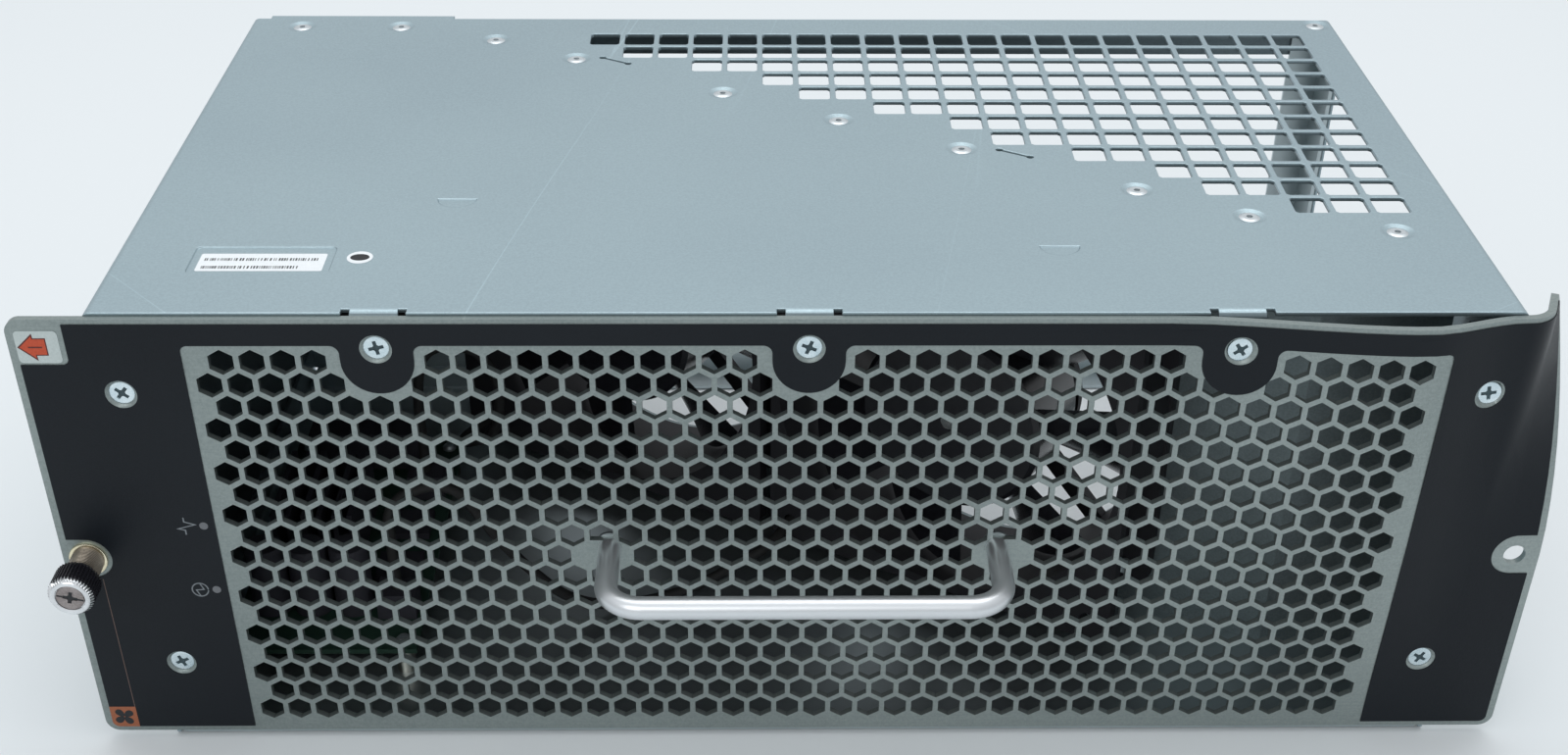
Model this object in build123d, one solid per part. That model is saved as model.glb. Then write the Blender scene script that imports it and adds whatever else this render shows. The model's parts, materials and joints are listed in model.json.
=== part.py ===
from build123d import *
import math
import os

# Switch fan tray: a flanged front panel with a hexagonal grille and a folded sheet-metal box behind it.
# Two axial fans blow through a slanted wall into an open plenum at the rear right.
# Millimetres. +X to the right, +Y into the box, +Z up.
# The origin is the middle of the footprint, on the underside of the box.

# Front panel
panel_width = 413.4
panel_height = 138.6
panel_thickness = 2.0
panel_corner = 4.0
panel_lift = 2.4

# Hexagonal grille
hex_pitch = 8.0
hex_flats = 6.5
hex_rows = 18
hex_columns = 40
hex_offset_x = 1.2
hex_offset_z = -2.2
screw_land = 11.9
grille_border = 3.0

# Printed film on the panel
film_thickness = 0.3
film_side_margin = 2.1
film_top_margin = 1.4
film_bottom_margin = 1.7
film_left_band = 43.9
film_right_band = 39.6
film_top_band = 7.6
film_corner = 2.0
film_notch_width = 14.8
film_notch_height = 13.3
tongue_width = 19.1
tongue_depth = 21.9
tongue_corner = 2.5
thumb_land = 6.5

# Box
box_width = 374.2
box_height = 141.9
box_depth = 209.7
bay_extra = 2.6
sheet = 1.2
bend = 1.0
edge_lip = 12.0
pan_lip = 12.0
pan_front_lip = 5.5

# Panel fixing
tab_width = 12.5
tab_notch = 2.2
tab_screw_drop = 9.6
tab_spacing = 112.3
side_flange = 14.0
side_screw_inset = 6.7
side_screw_low = 28.3
side_screw_drop = 23.1
screw_radius = 1.75
screw_length = 8.5
screw_sink = 0.7
countersink_radius = 4.2
countersink_half_angle = 50.0
fit_gap = 0.05

# Handle
handle_rod = 6.35
handle_spacing = 108.0
handle_offset_x = -0.7
handle_height = 68.7
handle_reach = 30.7
handle_bend = 10.0
handle_pad = 2.6
handle_screw_radius = 1.95
handle_screw_depth = 10.0

# Thumb screws
thumb_inset = 7.1
thumb_height = 65.6
thumb_hole_radius = 3.1
thumb_travel = 6.0
thumb_screw_radius = 2.0
thumb_thread = 5.5
thumb_neck_radius = 1.6
ferrule_radius = 4.45
ferrule_length = 10.3
ferrule_collar = 5.3
ferrule_floor = 0.6
ferrule_neck_radius = 4.0
chamber_radius = 3.6
knob_radius = 6.3
knob_cap = 2.0
knob_skirt_radius = 4.9
washer_radius = 3.25
washer_thickness = 0.6
running_gap = 0.3
spring_wire = 0.3
spring_radius = 2.75
spring_turns = 8

# Indicators
lens_radius = 1.2
lens_inset = 3.1
lens_upper = 76.7
lens_lower = 54.8

# Slanted wall and plenum
bay_edge_x = -118.0
bay_flange = 15.4
wall_rear_depth = 197.4
wall_front_depth = 41.3
wall_end_x = 146.0
wall_flange = 11.0
wall_rivet_inset = 4.0
return_rivet_inset = 7.1
window_border = 10.0
post_flange = 12.0
post_side = 19.5

# Outlet grid in the top
grid_pitch = 11.61
grid_hole = 9.83
grid_chamfer = 0.8
grid_left_x = -69.4
grid_rear_margin = 13.9
grid_columns = 21
grid_rows = 12
grid_clear = 7.0

# Rivets
rivet_radius = 3.0
rivet_shank = 1.55
rivet_bore = 0.9
rivet_blind_radius = 2.25
rivet_blind_length = 1.8
dimple_radius = 4.8
dimple_depth = 0.5
wall_rivet_steps = [17.0, 50.0, 106.7, 148.7, 190.9, 247.0, 280.8]
return_rivet_step = 19.2
bay_rivet_steps = [17.0, 50.8]
bay_rivet_inset = 7.6
post_rivet_inset_x = 6.8
post_rivet_inset_y = 5.0

# Marks pressed or cut in the top
lance_steps = [62.0, 206.0]
lance_inset = 9.2
lance_length = 11.2
lance_width = 1.1
recess_width = 38.0
recess_height = 15.2
recess_depth = 0.4
recess_corner = 1.5
recess_inset_x = 40.4
recess_inset_y = 31.6
boss_radius = 5.5
boss_depth = 0.3
boss_cut = 6.0
boss_places = [(-98.9, 69.0), (69.5, 39.6)]

# Fans
fan_size = 120.0
fan_depth = 38.0
fan_gap = 4.0
fan_inset = 25.0
fan_hole_spacing = 105.0
fan_corner = 5.0
duct_radius = 57.3
duct_wall = 2.4
fan_flange = 4.5
tip_gap = 1.3
hub_radius = 30.0
hub_wall = 1.8
hub_top = 34.0
hub_open = 5.5
boss_outer = 4.5
boss_foot = 28.0
blade_count = 7
blade_thickness = 1.5
blade_root = (31.0, 46.0, 3.6)
blade_tip = (48.0, 29.0, 3.0)
strut_width = 5.2
strut_turn = 45.0
shaft_radius = 2.5
bearing_radius = 5.5
bearing_width = 5.0
bearing_wall = 2.0
bearing_fit = 0.03
bearing_race = 0.8
bearing_shield = 0.3
bearing_upper = 22.0
bearing_tube_top = 27.5
motor_base = 3.0
core_radius = 25.5
core_base = 9.0
core_height = 10.0
core_window_radius = 7.0
core_window_reach = 16.5
core_slot_reach = 23.0
coil_reach = 11.5
coil_width = 13.0
coil_depth = 4.0
coil_wall = 1.3
coil_rise = 1.8
magnet_wall = 1.9
magnet_base = 7.0
magnet_height = 18.0
fan_screw_radius = 2.0
fan_screw_length = 9.0

# Controller board
board_left = -176.0
board_length_x = 58.0
board_near = 26.0
board_length_y = 118.0
board_height = 9.0
board_thickness = 1.6
board_hole_inset = 4.5
board_hole_radius = 1.6
standoff_radius = 3.0
standoff_bore = 1.3
plug_width = 46.0
plug_height = 13.0
plug_depth = 22.0
plug_base = 30.0
plug_ear = 9.0
plug_ear_thickness = 4.0
plug_hole_inset = 5.0
plug_hole_radius = 1.6
plug_slots = 6
plug_slot_pitch = 7.2
plug_slot_width = 4.4
plug_slot_depth = 6.0
lead_radius = 1.7
socket_inset = 8.0
socket_height = 9.0

# Derived places
panel_front = (handle_reach - panel_thickness - box_depth - bay_extra) / 2
panel_back = panel_front + panel_thickness
panel_top = panel_lift + panel_height
box_rear = panel_back + box_depth
bay_rear = box_rear + bay_extra
half_width = box_width / 2
inner_half = half_width - sheet
ceiling = box_height - sheet
hex_row_pitch = hex_pitch * math.sqrt(3) / 2
hex_radius = hex_flats / math.sqrt(3)
hex_middle_z = panel_lift + panel_height / 2 + hex_offset_z
handle_legs = [handle_offset_x - handle_spacing / 2, handle_offset_x + handle_spacing / 2]
thumb_x = panel_width / 2 - thumb_inset
top_screw_z = box_height - tab_screw_drop
side_screw_x = half_width - side_screw_inset
tab_centres = [-tab_spacing, 0, tab_spacing]
side_screw_heights = [side_screw_low, box_height - side_screw_drop]
panel_screw_places = [(x, top_screw_z) for x in tab_centres]
panel_screw_places += [(side * side_screw_x, z) for side in (-1, 1) for z in side_screw_heights]
film_inner_left = film_left_band - panel_width / 2
film_inner_right = panel_width / 2 - film_right_band
lens_x = film_inner_left - lens_inset
wall_start = (bay_edge_x, panel_front + wall_rear_depth)
wall_corner = (wall_end_x, panel_front + wall_front_depth)
wall_length = math.dist(wall_start, wall_corner)
wall_dir = ((wall_corner[0] - wall_start[0]) / wall_length, (wall_corner[1] - wall_start[1]) / wall_length)
wall_normal = (-wall_dir[1], wall_dir[0])
fan_centres = [fan_inset + fan_size / 2, fan_inset + fan_size * 1.5 + fan_gap]
fan_height = box_height / 2
board_top = sheet + board_height + board_thickness
board_front = panel_front + board_near
socket_x = board_left + board_length_x - socket_inset
socket_ys = [board_front + 86, board_front + 20]
plug_x = (bay_edge_x - inner_half) / 2
plug_z = plug_base + plug_height / 2

panel_frame = Plane(origin=(0, panel_front, 0), x_dir=(1, 0, 0), z_dir=(0, -1, 0)).location
wall_frame = Plane(
    origin=(wall_start[0], wall_start[1], 0),
    x_dir=(wall_dir[0], wall_dir[1], 0),
    z_dir=(-wall_normal[0], -wall_normal[1], 0),
).location


def slab(x0, x1, y0, y1, z0, z1):
    """Rectangular block between two corners."""
    return Pos((x0 + x1) / 2, (y0 + y1) / 2, (z0 + z1) / 2) * Box(x1 - x0, y1 - y0, z1 - z0)


def turned(outline):
    """Solid of revolution about Z from (radius, height) points."""
    return revolve(make_face(Polyline(*[(r, 0, h) for r, h in outline], close=True)), Axis.Z)


def rod(radius, z0, z1):
    """Round bar along Z between two heights."""
    return Pos(0, 0, (z0 + z1) / 2) * Cylinder(radius, z1 - z0)


def at_panel(x, z):
    """Place on the panel's front face, with local Z towards the viewer."""
    return panel_frame * Pos(x, z, 0)


def at_wall(along, height):
    """Place on the slanted wall, with local Z towards the front chamber."""
    return wall_frame * Pos(along, height, 0)


def wall_point(along, behind):
    """Plan position measured along the slanted wall and behind its plane."""
    x = wall_start[0] + along * wall_dir[0] + behind * wall_normal[0]
    y = wall_start[1] + along * wall_dir[1] + behind * wall_normal[1]
    return x, y


def folded(path, thickness):
    """Edge view of a folded sheet: path is one surface, the thickness lies to its left."""
    steps = list(zip(path, path[1:]))
    normals = []
    for (x0, y0), (x1, y1) in steps:
        length = math.hypot(x1 - x0, y1 - y0)
        normals.append(((y0 - y1) / length, (x1 - x0) / length))
    shifts = [normals[0]]
    for (ax, ay), (bx, by) in zip(normals, normals[1:]):
        share = 1 + ax * bx + ay * by
        shifts.append(((ax + bx) / share, (ay + by) / share))
    shifts.append(normals[-1])
    far_side = [(x + thickness * sx, y + thickness * sy) for (x, y), (sx, sy) in zip(path, shifts)]
    return make_face(Polyline(*path, *reversed(far_side), close=True))


def channel(width, height, depth_from, depth_to, upturned=False):
    """Three-sided folded channel running along Y, open below or above."""
    outer = Pos(0, height / 2) * Rectangle(width, height)
    outer = fillet(outer.vertices().group_by(Axis.Y)[-1], bend + sheet)
    inner = Pos(0, (height - sheet) / 2) * Rectangle(width - 2 * sheet, height - sheet)
    inner = fillet(inner.vertices().group_by(Axis.Y)[-1], bend)
    section = outer - inner
    if upturned:
        section = Pos(0, height) * Rot(0, 0, 180) * section
    profile = Plane(origin=(0, depth_from, 0), x_dir=(1, 0, 0), z_dir=(0, -1, 0)) * section
    return extrude(profile, -(depth_to - depth_from))


def clipped_above(points, floor):
    """Polygon corners of a hexagon cut off flat below a height."""
    kept = []
    for (x0, z0), (x1, z1) in zip(points, points[1:] + points[:1]):
        if z0 >= floor:
            kept.append((x0, z0))
        if (z0 - floor) * (z1 - floor) < 0:
            share = (floor - z0) / (z1 - z0)
            kept.append((x0 + share * (x1 - x0), floor))
    return kept


def hexagon(x, z):
    """Corners of one grille opening, standing on a point."""
    turns = [math.radians(60 * k) for k in range(6)]
    return [(x + hex_radius * math.sin(t), z + hex_radius * math.cos(t)) for t in turns]


def grille_cells():
    """Outlines of all grille openings, leaving land for the screws and the handle."""
    cells = []
    for row in range(hex_rows):
        z = hex_middle_z + ((hex_rows - 1) / 2 - row) * hex_row_pitch
        stagger = hex_pitch / 4 if row % 2 == 0 else -hex_pitch / 4
        if not panel_lift + grille_border < z - hex_radius < z + hex_radius < panel_top - grille_border:
            continue
        for column in range(hex_columns):
            x = hex_offset_x + stagger + (column - (hex_columns - 1) / 2) * hex_pitch
            if any(math.dist((x, z), place) < screw_land for place in panel_screw_places):
                continue
            corners = hexagon(x, z)
            nearest_leg = min(handle_legs, key=lambda leg: abs(leg - x))
            beside_leg = abs(nearest_leg - x)
            below_bar = handle_height - z
            if 0 <= below_bar < hex_row_pitch / 2 and beside_leg < handle_rod / 2 + hex_flats / 2 + 2:
                continue
            if -hex_row_pitch < below_bar < 0 and beside_leg < hex_pitch / 2:
                corners = clipped_above(corners, handle_height + handle_pad)
            cells.append(corners)
    return cells


def outline_wire(points):
    """Closed wire through plane points."""
    return Wire.make_polygon([(x, y, 0) for x, y in points], close=True)


def hole_wire(x, z, radius):
    """Round hole outline in the panel's plane."""
    return Wire.make_circle(radius, Plane((x, z, 0)))


def front_panel():
    """Flat steel panel with grille, fixing holes and thumb screw holes."""
    middle = panel_lift + panel_height / 2
    border = (Pos(0, middle) * RectangleRounded(panel_width, panel_height, panel_corner)).face().outer_wire()
    holes = [outline_wire(cell) for cell in grille_cells()]
    holes.append(hole_wire(-thumb_x, thumb_height, ferrule_neck_radius + fit_gap))
    holes.append(hole_wire(thumb_x, thumb_height, thumb_hole_radius))
    holes += [hole_wire(x, handle_height, handle_screw_radius + 0.2) for x in handle_legs]
    holes += [hole_wire(lens_x, z, lens_radius + fit_gap) for z in (lens_upper, lens_lower)]
    plate = extrude(Face(border, holes), panel_thickness)
    plate = Pos(0, 0, -panel_thickness) * plate
    slope = math.tan(math.radians(countersink_half_angle))
    cone_depth = (countersink_radius - screw_radius) / slope
    cutter = turned([
        (0, 0),
        (countersink_radius, 0),
        (screw_radius, -cone_depth),
        (screw_radius, -panel_thickness - 1),
        (0, -panel_thickness - 1),
    ])
    plate -= [Pos(x, z, 0) * cutter for x, z in panel_screw_places]
    return panel_frame * plate


def film_outline():
    """Printed film: left and right bands joined by a top band with three tongues."""
    left = film_side_margin - panel_width / 2
    right = -left
    low = panel_lift + film_bottom_margin
    high = panel_top - film_top_margin
    window_top = panel_top - film_top_band
    sheet_area = RectangleRounded(right - left, high - low, film_corner)
    sheet_area = Pos((left + right) / 2, (low + high) / 2) * sheet_area
    window_middle = (film_inner_left + film_inner_right) / 2
    window_width = film_inner_right - film_inner_left
    window = Rectangle(window_width, window_top - low + 2 * film_corner)
    window = Pos(window_middle, window_top - (window_top - low + 2 * film_corner) / 2) * window
    window = fillet(window.vertices().group_by(Axis.Y)[-1], film_corner)
    tongue_radius = tongue_width / 2
    tongue_centre = panel_top - tongue_depth + tongue_radius
    drop = window_top - tongue_centre
    for x in tab_centres:
        tongue = Pos(x, tongue_centre) * Circle(tongue_radius)
        tongue += Pos(x, tongue_centre + drop / 2 + 1) * Rectangle(tongue_width, drop + 2)
        window -= tongue
    tongue_sides = [x + side * tongue_radius for x in tab_centres for side in (-1, 1)]
    corners = [
        corner for corner in window.vertices()
        if abs(corner.Y - window_top) < 0.01 and min(abs(corner.X - x) for x in tongue_sides) < 0.01
    ]
    window = fillet(corners, tongue_corner)
    area = sheet_area - window
    notch = Rectangle(2 * film_notch_width, 2 * film_notch_height)
    notch = fillet(notch.vertices(), film_corner)
    area -= Pos(-panel_width / 2, panel_top) * notch
    for side in (-1, 1):
        land = Pos(side * thumb_x, thumb_height) * Circle(thumb_land)
        land += Pos(side * (thumb_x + thumb_inset / 2), thumb_height) * Rectangle(thumb_inset, 2 * thumb_land)
        area -= land
    for x, z in panel_screw_places:
        area -= Pos(x, z) * Circle(countersink_radius + fit_gap)
    for z in (lens_upper, lens_lower):
        area -= Pos(lens_x, z) * Circle(lens_radius + fit_gap)
    return area


def front_film():
    """Thin printed film stuck to the panel."""
    return panel_frame * extrude(film_outline(), film_thickness)


def cross_recess(top):
    """Cross-shaped driver recess cut down from a height."""
    arm = screw_radius * 2
    bars = Box(arm, arm / 4, 1.2) + Box(arm / 4, arm, 1.2)
    return Pos(0, 0, top - 0.6) * bars


def panel_screw():
    """Flat-head screw seated in the panel's countersink, local Z towards the viewer."""
    slope = math.tan(math.radians(countersink_half_angle))
    head = countersink_radius - fit_gap - screw_sink * slope
    shank = screw_radius - fit_gap
    body = turned([
        (0, -screw_sink),
        (head, -screw_sink),
        (shank, -screw_sink - (head - shank) / slope),
        (shank, -screw_length + 0.8),
        (shank - 0.6, -screw_length),
        (0, -screw_length),
    ])
    return body - cross_recess(-screw_sink)


def handle():
    """Bent round bar standing off the panel, tapped at both ends."""
    left, right = handle_legs
    out = handle_reach - handle_rod / 2
    path = FilletPolyline(
        (left, handle_height, 0),
        (left, handle_height, out),
        (right, handle_height, out),
        (right, handle_height, 0),
        radius=handle_bend,
    )
    bar = sweep(Plane(origin=path @ 0, z_dir=path % 0) * Circle(handle_rod / 2), path=path)
    bores = [Pos(x, handle_height, 0) * rod(handle_screw_radius, -1, handle_screw_depth) for x in handle_legs]
    return panel_frame * (bar - bores)


def pan_head_screw(radius, length):
    """Pan-head screw, bearing face at height zero and shank upwards."""
    head = radius * 1.9
    rise = radius * 1.2
    shape = turned([
        (0, -rise),
        (head * 0.7, -rise),
        (head, -rise * 0.45),
        (head, 0),
        (radius, 0),
        (radius, length - 0.6),
        (radius - 0.5, length),
        (0, length),
    ])
    return shape - Pos(0, 0, -rise) * Box(radius * 1.6, radius * 0.4, 1.4)


def handle_screws():
    """Screws from behind the panel into the handle's ends."""
    screw = Pos(0, 0, -panel_thickness) * pan_head_screw(handle_screw_radius - fit_gap, handle_screw_depth)
    return [at_panel(x, handle_height) * screw for x in handle_legs]


def thumb_ferrule():
    """Pressed-in guide of the captive screw, with its spring chamber."""
    return turned([
        (ferrule_neck_radius, -panel_thickness),
        (ferrule_neck_radius, 0),
        (ferrule_collar, 0),
        (ferrule_collar, 0.9),
        (ferrule_radius, 0.9),
        (ferrule_radius, ferrule_length - 0.4),
        (ferrule_radius - 0.4, ferrule_length),
        (chamber_radius, ferrule_length),
        (chamber_radius, ferrule_floor),
        (thumb_screw_radius + running_gap, ferrule_floor),
        (thumb_screw_radius + running_gap, -panel_thickness),
    ])


def knob_ceiling():
    """Height of the knob's inner face above the panel when the screw is out."""
    return ferrule_length + thumb_travel + running_gap


def thumb_knob():
    """Hollow knob with a ribbed grip that slides over the ferrule."""
    ceiling_height = knob_ceiling()
    top = ceiling_height + knob_cap
    low = ferrule_length - 0.7
    rib_depth = 0.25
    body = turned([
        (0, ceiling_height),
        (knob_skirt_radius, ceiling_height),
        (knob_skirt_radius, low),
        (knob_radius - 0.5, low),
        (knob_radius, low + 0.5),
        (knob_radius, top - 1.0),
        (knob_radius - 0.9, top),
        (0, top),
    ])
    groove = Pos(knob_radius, 0, (low + top) / 2 - 0.4) * Box(2 * rib_depth, 0.5, top - low - 2.6)
    body -= [Rot(0, 0, 360 / 24 * k) * groove for k in range(24)]
    return body - cross_recess(top)


def thumb_screw():
    """Necked screw fixed in the knob, with its threaded end in the ferrule."""
    tip = -1.5
    neck_start = tip + thumb_thread
    top = knob_ceiling()
    return turned([
        (0, tip),
        (thumb_screw_radius - 0.6, tip),
        (thumb_screw_radius, tip + 0.6),
        (thumb_screw_radius, neck_start),
        (thumb_neck_radius, neck_start),
        (thumb_neck_radius, top),
        (0, top),
    ])


def thumb_washer():
    """Washer between the spring and the knob."""
    top = knob_ceiling() - running_gap
    ring = Circle(washer_radius) - Circle(thumb_neck_radius + running_gap)
    return Pos(0, 0, top - washer_thickness) * extrude(ring, washer_thickness)


def thumb_spring():
    """Coil spring that holds the captive screw out."""
    low = ferrule_floor + spring_wire
    high = knob_ceiling() - running_gap - washer_thickness - spring_wire
    coil = Helix(pitch=(high - low) / spring_turns, height=high - low, radius=spring_radius)
    wire = sweep(Plane(origin=coil @ 0, z_dir=coil % 0) * Circle(spring_wire), path=coil, is_frenet=True)
    return Pos(0, 0, low) * wire


def status_lens():
    """Light pipe that ends flush with the film."""
    return rod(lens_radius, -panel_thickness, film_thickness)


def diagonal_rivets():
    """Rivet places along the slanted wall."""
    return [wall_point(step, wall_rivet_inset) for step in wall_rivet_steps]


def post_rivet_place():
    """Rivet that joins the corner post to the top."""
    return half_width - post_rivet_inset_x, box_rear - post_rivet_inset_y


def top_rivet_places():
    """All rivets seen in the top."""
    places = bottom_rivet_places()
    places.append(post_rivet_place())
    places += [(bay_edge_x - step, box_rear - bay_rivet_inset) for step in bay_rivet_steps]
    return places


def bottom_rivet_places():
    """Rivets through the pan into the wall's lower flange."""
    return diagonal_rivets() + [(wall_end_x + return_rivet_step, wall_corner[1] + return_rivet_inset)]


def dimple():
    """Tool for the shallow dimple and hole of one rivet, top face at height zero."""
    return turned([
        (0, 0.1),
        (dimple_radius, 0.1),
        (dimple_radius, 0),
        (rivet_radius + 0.3, -dimple_depth),
        (rivet_shank + fit_gap, -dimple_depth),
        (rivet_shank + fit_gap, -2 * sheet - 1),
        (0, -2 * sheet - 1),
    ])


def rivet():
    """Blind rivet with its hollow head, top of the sheet at height zero."""
    return turned([
        (rivet_bore, -dimple_depth - 0.6),
        (rivet_bore, -0.05),
        (rivet_radius - 0.9, -0.05),
        (rivet_radius, -dimple_depth + 0.1),
        (rivet_radius, -dimple_depth),
        (rivet_shank, -dimple_depth),
        (rivet_shank, -2 * sheet),
        (rivet_blind_radius, -2 * sheet),
        (rivet_blind_radius, -2 * sheet - rivet_blind_length / 2),
        (rivet_shank, -2 * sheet - rivet_blind_length),
        (0, -2 * sheet - rivet_blind_length),
        (0, -dimple_depth - 0.6),
    ])


def grid_cutters():
    """Square outlet holes behind the slanted wall."""
    square = chamfer(Rectangle(grid_hole, grid_hole).vertices(), grid_chamfer)
    tool = Pos(0, 0, ceiling - 1) * extrude(square, sheet + 2)
    cutters = []
    for row in range(grid_rows):
        y = box_rear - grid_rear_margin - (row + 0.5) * grid_pitch + (grid_pitch - grid_hole) / 2
        for column in range(grid_columns):
            x = grid_left_x + column * grid_pitch + grid_hole / 2
            corner = (x - grid_hole / 2 - wall_start[0], y - grid_hole / 2 - wall_start[1])
            behind = corner[0] * wall_normal[0] + corner[1] * wall_normal[1]
            if behind > wall_rivet_inset + grid_clear and x + grid_hole / 2 < inner_half - edge_lip:
                cutters.append(Pos(x, y, 0) * tool)
    return cutters


def top_cover():
    """Top and both sides folded from one sheet, with tabs, flanges, outlet grid and side window."""
    cover = channel(box_width, box_height, panel_back, box_rear)
    bay_left = -half_width + edge_lip / 2
    cover += slab(bay_left, bay_edge_x, box_rear - 1, bay_rear, ceiling, box_height)
    lip_low = box_height - edge_lip
    cover += slab(bay_edge_x, inner_half, box_rear - sheet, box_rear, lip_low, box_height - bend)
    for side in (-1, 1):
        edges = sorted((side * inner_half, side * (inner_half - side_flange)))
        cover += slab(*edges, panel_back, panel_back + sheet, edge_lip, ceiling - 2 * bend)
    for x in tab_centres:
        low = top_screw_z - tab_width / 2
        cover += slab(x - tab_width / 2, x + tab_width / 2, panel_back, panel_back + sheet, low, ceiling)
    tools = grid_cutters()
    for x in tab_centres:
        for side in (-1, 1):
            edges = sorted((x + side * tab_width / 2, x + side * (tab_width / 2 + tab_notch)))
            tools.append(slab(*edges, panel_back - 1, panel_back + tab_notch, ceiling - 1, box_height + 1))
    tools += tab_bends()
    window_front = wall_corner[1] + wall_flange
    window_rear = box_rear - post_side
    window_low = pan_lip + window_border / 4
    window_high = ceiling - window_border
    tools.append(slab(inner_half - 1, half_width + 1, window_front, window_rear, window_low, window_high))
    screw_hole = rod(screw_radius + fit_gap, -panel_thickness - 3, 0)
    tools += [at_panel(x, z) * screw_hole for x, z in panel_screw_places]
    tools += [Pos(x, y, box_height) * dimple() for x, y in top_rivet_places()]
    tools += lanced_marks()
    tools += embossed_marks()
    return cover - tools


def tab_bends():
    """Tool that rounds the bend of the three front tabs."""
    outer = bend + sheet
    half_tab = tab_width / 2
    centre_y = panel_back + outer
    centre_z = box_height - outer
    cutter = slab(-half_tab, half_tab, panel_back - 1, centre_y, centre_z, box_height + 1)
    cutter -= Pos(0, centre_y, centre_z) * Rot(0, 90, 0) * Cylinder(outer, 2 * tab_width)
    return [Pos(x, 0, 0) * cutter for x in tab_centres]


def lanced_marks():
    """Two lanced slots beside the outlet grid."""
    slots = []
    end = lance_length / 2 - lance_width / 2
    for along in lance_steps:
        x, y = wall_point(along, lance_inset)
        heading = math.degrees(math.atan2(wall_dir[1], wall_dir[0]))
        slot = extrude(SlotOverall(lance_length, lance_width), sheet + 2)
        ends = [Pos(end * side, 0, 0) * extrude(Circle(lance_width), sheet + 2) for side in (-1, 1)]
        cutter = slot + ends
        slots.append(Pos(x, y, ceiling - 1) * Rot(0, 0, heading) * cutter)
    return slots


def embossed_marks():
    """Label recess and two half-moon marks pressed into the top."""
    recess = extrude(RectangleRounded(recess_width, recess_height, recess_corner), 1)
    recess_y = panel_front + recess_inset_y
    marks = [Pos(recess_inset_x - half_width, recess_y, box_height - recess_depth) * recess]
    half_moon = extrude(Circle(boss_radius) - Pos(0, boss_cut) * Rectangle(2 * boss_cut, 2 * boss_cut), 1)
    marks += [Pos(x, panel_front + y, box_height - boss_depth) * half_moon for x, y in boss_places]
    return marks


def bottom_pan():
    """Floor with upturned edges, open under the plenum."""
    pan = channel(2 * inner_half, pan_lip, panel_back, box_rear, upturned=True)
    lip_half = inner_half - sheet - bend
    pan += slab(-lip_half, lip_half, panel_back, panel_back + sheet, sheet / 2, pan_front_lip)
    pan += slab(bay_edge_x, lip_half, box_rear - sheet, box_rear, sheet / 2, pan_lip)
    behind = wall_flange + 2
    rim_right = inner_half - post_flange - 4
    rim_rear = box_rear - edge_lip
    start = wall_point((wall_start[1] + behind * wall_normal[1] - rim_rear) / -wall_dir[1], behind)
    corner = (wall_corner[0] + wall_flange * 0.55 + 2, wall_corner[1] + behind)
    opening = make_face(Polyline(
        start,
        corner,
        (rim_right, corner[1]),
        (rim_right, rim_rear),
        close=True,
    ))
    tools = [Pos(0, 0, -1) * extrude(opening, sheet + 2)]
    post_left = inner_half - post_flange
    tools.append(slab(post_left, inner_half + 1, box_rear - post_side, box_rear + 1, sheet, pan_lip + 1))
    tools += [Pos(x, y, 0) * Rot(180, 0, 0) * dimple() for x, y in bottom_rivet_places()]
    return pan - tools


def fan_wall():
    """Slanted wall with two round fan openings, flanged top and bottom, turned to the right side."""
    right_end = (inner_half - sheet - bend, wall_corner[1])
    plan = folded([wall_start, wall_corner, right_end], sheet)
    low = sheet
    wall = Pos(0, 0, low) * extrude(plan, ceiling - low)
    long_flange = make_face(Polyline(
        wall_point(3, 0),
        wall_point(wall_length - 3, 0),
        wall_point(wall_length - 3, wall_flange),
        wall_point(3, wall_flange),
        close=True,
    ))
    short_left = wall_end_x + wall_flange
    for z in (low, ceiling - sheet):
        wall += Pos(0, 0, z) * extrude(long_flange, sheet)
        wall += slab(short_left, right_end[0] - 1, right_end[1], right_end[1] + wall_flange, z, z + sheet)
    tools = []
    for along in fan_centres:
        tools.append(at_wall(along, fan_height) * rod(duct_radius, -sheet - 1, 1))
        for place in fan_hole_places():
            tools.append(at_wall(along, fan_height) * place * rod(fan_screw_radius + 0.15, -sheet - 1, 1))
    tools += [Pos(x, y, box_height) * dimple() for x, y in bottom_rivet_places()]
    tools += [Pos(x, y, 0) * Rot(180, 0, 0) * dimple() for x, y in bottom_rivet_places()]
    return wall - tools


def fan_hole_places():
    """Corner hole places of one fan."""
    reach = fan_hole_spacing / 2
    return [Pos(sx * reach, sy * reach, 0) for sx in (-1, 1) for sy in (-1, 1)]


def corner_post():
    """Post in the rear right corner that joins top and bottom."""
    side = inner_half
    rear = box_rear - sheet
    path = [(side - post_flange, rear), (side, rear), (side, box_rear - post_side)]
    post = Pos(0, 0, sheet) * extrude(folded(path, -sheet), ceiling - 2 * sheet)
    foot = slab(side - post_flange, side - bend, rear - post_flange, rear - sheet / 2, 0, sheet)
    post += Pos(0, 0, sheet) * foot
    post += Pos(0, 0, ceiling - sheet) * foot
    x, y = post_rivet_place()
    return post - Pos(x, y, box_height) * dimple()


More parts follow.
